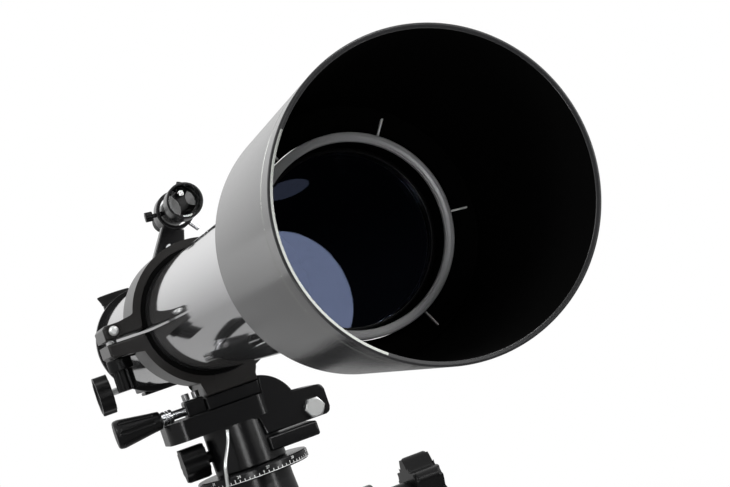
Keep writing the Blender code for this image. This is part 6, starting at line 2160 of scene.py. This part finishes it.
    def _bracket(self) -> None:
        """Curved foot, tapering stalk and ring."""
        upright = self.frame @ Facing.SECTION.at()
        outer = self.foot_inner + self.foot_height
        spread = math.degrees(math.asin(self.foot_width / 2 / outer))
        outline = arc(0, 0, outer, 90 + spread, 90 - spread, self.foot_steps)
        outline += arc(0, 0, self.foot_inner, 90 - spread, 90 + spread, self.foot_steps)
        half = self.foot_length / 2
        bracket = Form.prism("finder_stalk_casting", outline, -self.ring_y - half, half - self.ring_y,
                             upright, Edge.SOFT)
        top = self.offset - self.ring_bore - self.stalk_sink
        foot = outer - self.stalk_sink
        deep = self.stalk_depth / 2
        stalk = Form.prism("stalk", [
            (-self.stalk_foot / 2, foot), (self.stalk_foot / 2, foot), (self.stalk_top / 2, top),
            (-self.stalk_top / 2, top)], -self.ring_y - deep, deep - self.ring_y, upright, Edge.FULL)
        low, high = self.ring_y - self.ring_length / 2, self.ring_y + self.ring_length / 2
        ring = Form.sleeve("ring", (self.ring_r, self.ring_bore), low, high, self.sight, Facets.COLUMN,
                           (Edge.ROUND, Edge.BROKEN))
        Form.join(bracket, stalk)
        Form.join(bracket, ring)
        cuts = [Form.bore(self.ring_bore, low - deep, high + deep, self.sight)]
        holes = [(self.screw_r, degrees) for _, _, degrees in self.screw_degrees]
        for radius, degrees in (*holes, (self.pin_r, self.pin_degrees)):
            cuts.append(self.hole(radius, 0.0, 2 * self.ring_r, self.spoke(degrees)))
        Form.cut(bracket, *cuts)
        self.fit(bracket, Look.CASTING, "finder_bracket")

    def _fixings(self) -> None:
        """Thumb screws, sprung pin and dome nuts."""
        tip = self.barrel_r + self.gap
        start = self.ring_r + self.screw_reach
        knob = (start, start + self.screw_knob_length)
        for node, body, degrees in self.screw_degrees:
            self.add(node, body, self.screw_r, tip, knob, self.screw_knob_r, self.spoke(degrees))
        pin_end = self.ring_r + self.pin_reach
        pin = Form.rod("sprung_pin", self.pin_r, tip, pin_end, self.spoke(self.pin_degrees), Facets.PIN,
                       (Edge.SOFT, Edge.SOFT))
        self.fit(pin, Look.CHROME, "finder_spring_pin", body="finder_pin")
        base = self.stalk_depth / 2 + self.gap
        skirt = base + self.nut_skirt
        rise = self.nut_height - self.nut_skirt
        dome: list[Point] = []
        for step in range(self.nut_steps + 1):
            angle = math.pi / 2 * step / self.nut_steps
            dome.append((self.nut_r * math.sin(angle), skirt + rise * math.cos(angle)))
        dome += [(self.nut_r, base), (0.0, base)]
        seat = self.frame @ Matrix.Translation((0, self.ring_y, self.nut_offset))
        for index, turn in ((1, math.pi / 2), (2, -math.pi / 2)):
            nut = Form.lathe(f"dome_nut_{index}", dome, seat @ Matrix.Rotation(turn, 4, "X"), Facets.BOLT)
            self.fit(nut, Look.CHROME, f"bracket_nut_{index}")


@dataclass
class CarriedNodes(Assembly):
    """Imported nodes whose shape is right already. They get their finish and keep their mesh."""

    finishes: tuple[Finish, ...] = (
        Look.WHITE_ENAMEL, Look.DEW_PLASTIC, Look.CASTING, Look.PLASTIC, Look.FELT,
        Look.RUBBER, Look.FLAT_BLACK, Look.TURNED, Look.ZINC, Look.CHROME, Look.DRAWTUBE,
        Look.GLASS)

    def dress(self, frame: dict[str, Any]) -> None:
        """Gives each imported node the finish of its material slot.
        """
        by_slot = {finish.slot: finish for finish in self.finishes}
        slots = {part["node"]: part["material_slot"] for part in frame["record"]["subparts"]}
        for name, node in frame["nodes"].items():
            material = by_slot[slots[name]].material()
            if not node.data.materials:
                node.data.materials.append(material)
            for index in range(len(node.material_slots)):
                node.material_slots[index].material = material
            self.pieces.append(name)
        self.report()


@dataclass(frozen=True)
class Camera:
    """The photograph's view, from the tube's vanishing point and the rim's place in the picture."""

    width_px: float = 730.0
    height_px: float = 487.0
    focal_px: float = 1680.0
    sensor_mm: float = 36.0
    vanishing_px: tuple[float, float] = (-56.5, 442.0)
    rim_px: tuple[float, float] = (438.7, 192.8)
    rim_depth: float = 0.5978
    roll_deg: float = 18.0
    clip_start: float = 0.01

    def ray(self, pixel: tuple[float, float]) -> Vector:
        """Gives the direction of a pixel: x right, y down, z forward.

        Args:
            pixel: A place in the picture.

        Returns:
            The direction.
        """
        x = (pixel[0] - self.width_px / 2) / self.focal_px
        y = (pixel[1] - self.height_px / 2) / self.focal_px
        return Vector((x, y, 1.0))

    def build(self, rim: Vector) -> None:
        """Adds the camera.

        Args:
            rim: Centre of the dew shield's rim in the frame.
        """
        tail = self.ray(self.vanishing_px).normalized()
        level = Vector((tail.z, 0.0, -tail.x)).normalized()
        upright = level.cross(tail)
        roll = math.radians(self.roll_deg)
        up = upright * math.cos(roll) - level * math.sin(roll)
        right = level * math.cos(roll) + upright * math.sin(roll)
        to_frame = Matrix((right, tail, up))
        position = rim - to_frame @ (self.ray(self.rim_px) * self.rim_depth)
        columns = [to_frame @ Vector(axis) for axis in ((1, 0, 0), (0, -1, 0), (0, 0, -1))]
        turn = Matrix(columns).transposed().to_4x4()
        data = bpy.data.cameras.new("photo_view")
        data.sensor_width = self.sensor_mm
        data.lens = self.focal_px / self.width_px * self.sensor_mm
        data.clip_start = self.clip_start
        camera = Form.link("photo_view", data)
        camera.matrix_world = Matrix.Translation(position) @ turn
        bpy.context.scene.camera = camera


@dataclass(frozen=True)
class Softbox:
    """A rectangular or rounded studio lamp that only its light and its reflections show."""

    name: str
    place: tuple[float, float, float]
    aim: tuple[float, float, float]
    width: float
    height: float
    watts: float
    rounded: bool = False

    def build(self) -> None:
        """Adds the lamp, turned towards its aim."""
        data = bpy.data.lights.new(self.name, "AREA")
        data.shape = "ELLIPSE" if self.rounded else "RECTANGLE"
        data.size = self.width
        data.size_y = self.height
        data.energy = self.watts
        lamp = Form.link(self.name, data)
        lamp.location = self.place
        lamp.visible_camera = False
        towards = Vector(self.aim) - Vector(self.place)
        lamp.rotation_euler = towards.to_track_quat("-Z", "Y").to_euler()


@dataclass(frozen=True)
class Studio:
    """White floor and surroundings with soft lamps."""

    floor_size: float = 12.0
    floor_z: float = -1 * MM
    paper: str = "#F2F2F2"
    background: float = 1.0
    shadow_reach: float = 0.34
    floor_glow: float = 0.6
    front_shade: float = 0.02
    dark_heading: tuple[float, float, float] = (0.2655, -0.9636, 0.0298)
    dark_cone: tuple[float, float] = (0.94, 0.88)
    height_range: tuple[float, float] = (-0.05, 0.22)
    low_share: float = 0.38
    fill: float = 0.4
    lamps: tuple[Softbox, ...] = (
        Softbox("key_softbox", (-1.6, -1.4, 1.7), (0.0, -0.2, 0.2), 1.0, 1.0, 26.0),
        Softbox("right_softbox", (1.7, -0.6, 1.2), (0.0, -0.3, 0.2), 0.7, 1.2, 14.0),
        Softbox("lens_softbox", (1.71, -3.33, 0.80), (0.0, -0.43, 0.24), 1.66, 1.66, 18.0, True),
        Softbox("glint_softbox", (0.46, -2.15, 1.14), (0.04, 0.15, 0.325), 0.35, 0.35, 7.0),
        Softbox("side_window", (-0.86, 3.4, 0.35), (-0.06, -0.5, 0.235), 0.12, 0.6, 0.25),
        Softbox("strip_softbox", (1.2, -1.2, 0.3), (0.0, 0.0, 0.15), 0.15, 0.9, 6.0),
        Softbox("low_softbox", (0.42, -1.43, 0.04), (0.0, -0.43, 0.235), 0.2, 0.06, 0.011, True),
        Softbox("ring_softbox", (-0.38, -1.33, 0.06), (0.0, -0.43, 0.235), 0.25, 0.12, 1.7),
    )

    def build(self) -> None:
        """Sets the view transform and adds the floor, the world and the lamps."""
        bpy.context.scene.view_settings.view_transform = "Standard"
        self._floor()
        self._world()
        for lamp in self.lamps:
            lamp.build()

    @staticmethod
    def _rays(tree: Tree) -> tuple[Socket, Socket]:
        """Gives the tests for rays from the camera and for rays through mirrors or glass.

        Args:
            tree: The node tree.

        Returns:
            The two tests.
        """
        path = add_node(tree, "ShaderNodeLightPath")
        optic = add_node(tree, "ShaderNodeMath", {"operation": "MAXIMUM"}, {
            0: path.outputs["Is Glossy Ray"], 1: path.outputs["Is Transmission Ray"]})
        return path.outputs["Is Camera Ray"], optic.outputs[0]

    def _floor(self) -> None:
        """White floor that keeps a faint shadow under the base. Mirrors and glass don't show it."""
        shape = bmesh.new()
        bmesh.ops.create_grid(shape, x_segments=1, y_segments=1, size=self.floor_size / 2)
        floor = Form.new("studio_floor", shape, Matrix.Translation((0, 0, self.floor_z)))
        material = bpy.data.materials.new("white_studio_paper")
        material.use_nodes = True
        tree = material.node_tree
        tree.nodes.clear()
        paper = add_node(tree, "ShaderNodeBsdfDiffuse", inputs={"Color": linear(self.paper)})
        glow = add_node(tree, "ShaderNodeEmission", inputs={"Color": WHITE, "Strength": self.background})
        place = add_node(tree, "ShaderNodeTexCoord")
        away = add_node(tree, "ShaderNodeVectorMath", {"operation": "LENGTH"}, {0: place.outputs["Object"]})
        fade = add_node(tree, "ShaderNodeMapRange", {"interpolation_type": "SMOOTHSTEP"}, {
            "Value": away.outputs["Value"], "From Min": self.shadow_reach / 3, "From Max": self.shadow_reach,
            "To Min": self.floor_glow, "To Max": 1.0})
        seen, optic = self._rays(tree)
        share = add_node(tree, "ShaderNodeMath", {"operation": "MULTIPLY"}, {0: seen, 1: fade.outputs[0]})
        mix = add_node(tree, "ShaderNodeMixShader", inputs={
            0: share.outputs[0], 1: paper.outputs[0], 2: glow.outputs[0]})
        clear = add_node(tree, "ShaderNodeBsdfTransparent")
        mirrored = add_node(tree, "ShaderNodeMixShader", inputs={
            0: optic, 1: mix.outputs[0], 2: clear.outputs[0]})
        add_node(tree, "ShaderNodeOutputMaterial", inputs={0: mirrored.outputs[0]})
        floor.data.materials.append(material)

    def _world(self) -> None:
        """White surroundings. Mirrors show them darker below, and dark round the lens's mirror direction."""
        world = bpy.data.worlds.new("studio_surroundings")
        bpy.context.scene.world = world
        world.use_nodes = True
        tree = world.node_tree
        tree.nodes.clear()
        place = add_node(tree, "ShaderNodeTexCoord")
        split = add_node(tree, "ShaderNodeSeparateXYZ", inputs={0: place.outputs["Generated"]})
        ahead = add_node(tree, "ShaderNodeVectorMath", {"operation": "DOT_PRODUCT"}, {
            0: place.outputs["Generated"], 1: self.dark_heading})
        front = add_node(tree, "ShaderNodeMapRange", {"interpolation_type": "SMOOTHSTEP"}, {
            "Value": ahead.outputs["Value"], "From Min": self.dark_cone[0], "From Max": self.dark_cone[1],
            "To Min": self.front_shade, "To Max": self.background})
        height = add_node(tree, "ShaderNodeMapRange", inputs={
            "Value": split.outputs[2], "From Min": self.height_range[0], "From Max": self.height_range[1],
            "To Min": self.low_share, "To Max": 1.0})
        mirrored = add_node(tree, "ShaderNodeMath", {"operation": "MULTIPLY"}, {
            0: front.outputs[0], 1: height.outputs[0]})
        seen, optic = self._rays(tree)
        lights = []
        for strength in (self.fill, mirrored.outputs[0], self.background):
            lights.append(add_node(tree, "ShaderNodeBackground", inputs={
                "Color": WHITE, "Strength": strength}).outputs[0])
        glossy = add_node(tree, "ShaderNodeMixShader", inputs={0: optic, 1: lights[0], 2: lights[1]})
        shown = add_node(tree, "ShaderNodeMixShader", inputs={0: seen, 1: glossy.outputs[0], 2: lights[2]})
        add_node(tree, "ShaderNodeOutputWorld", inputs={0: shown.outputs[0]})


def main() -> None:
    """Builds the studio, the camera and every sub-assembly."""
    logging.basicConfig(level=logging.INFO, format="%(name)s: %(message)s")
    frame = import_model()
    CarriedNodes().dress(frame)
    shield = Extent.of("dew_shield")
    Camera().build(Vector((shield.middle.x, shield.low.y, shield.middle.z)))
    Studio().build()
    for kind in (OpticalTube, Objective, Cradle, Head, SlowMotion, Pillar, Base, Focuser, Diagonal, Finder):
        assembly = kind()
        assembly.build()
        assembly.report()


if __name__ == "__main__":
    main()
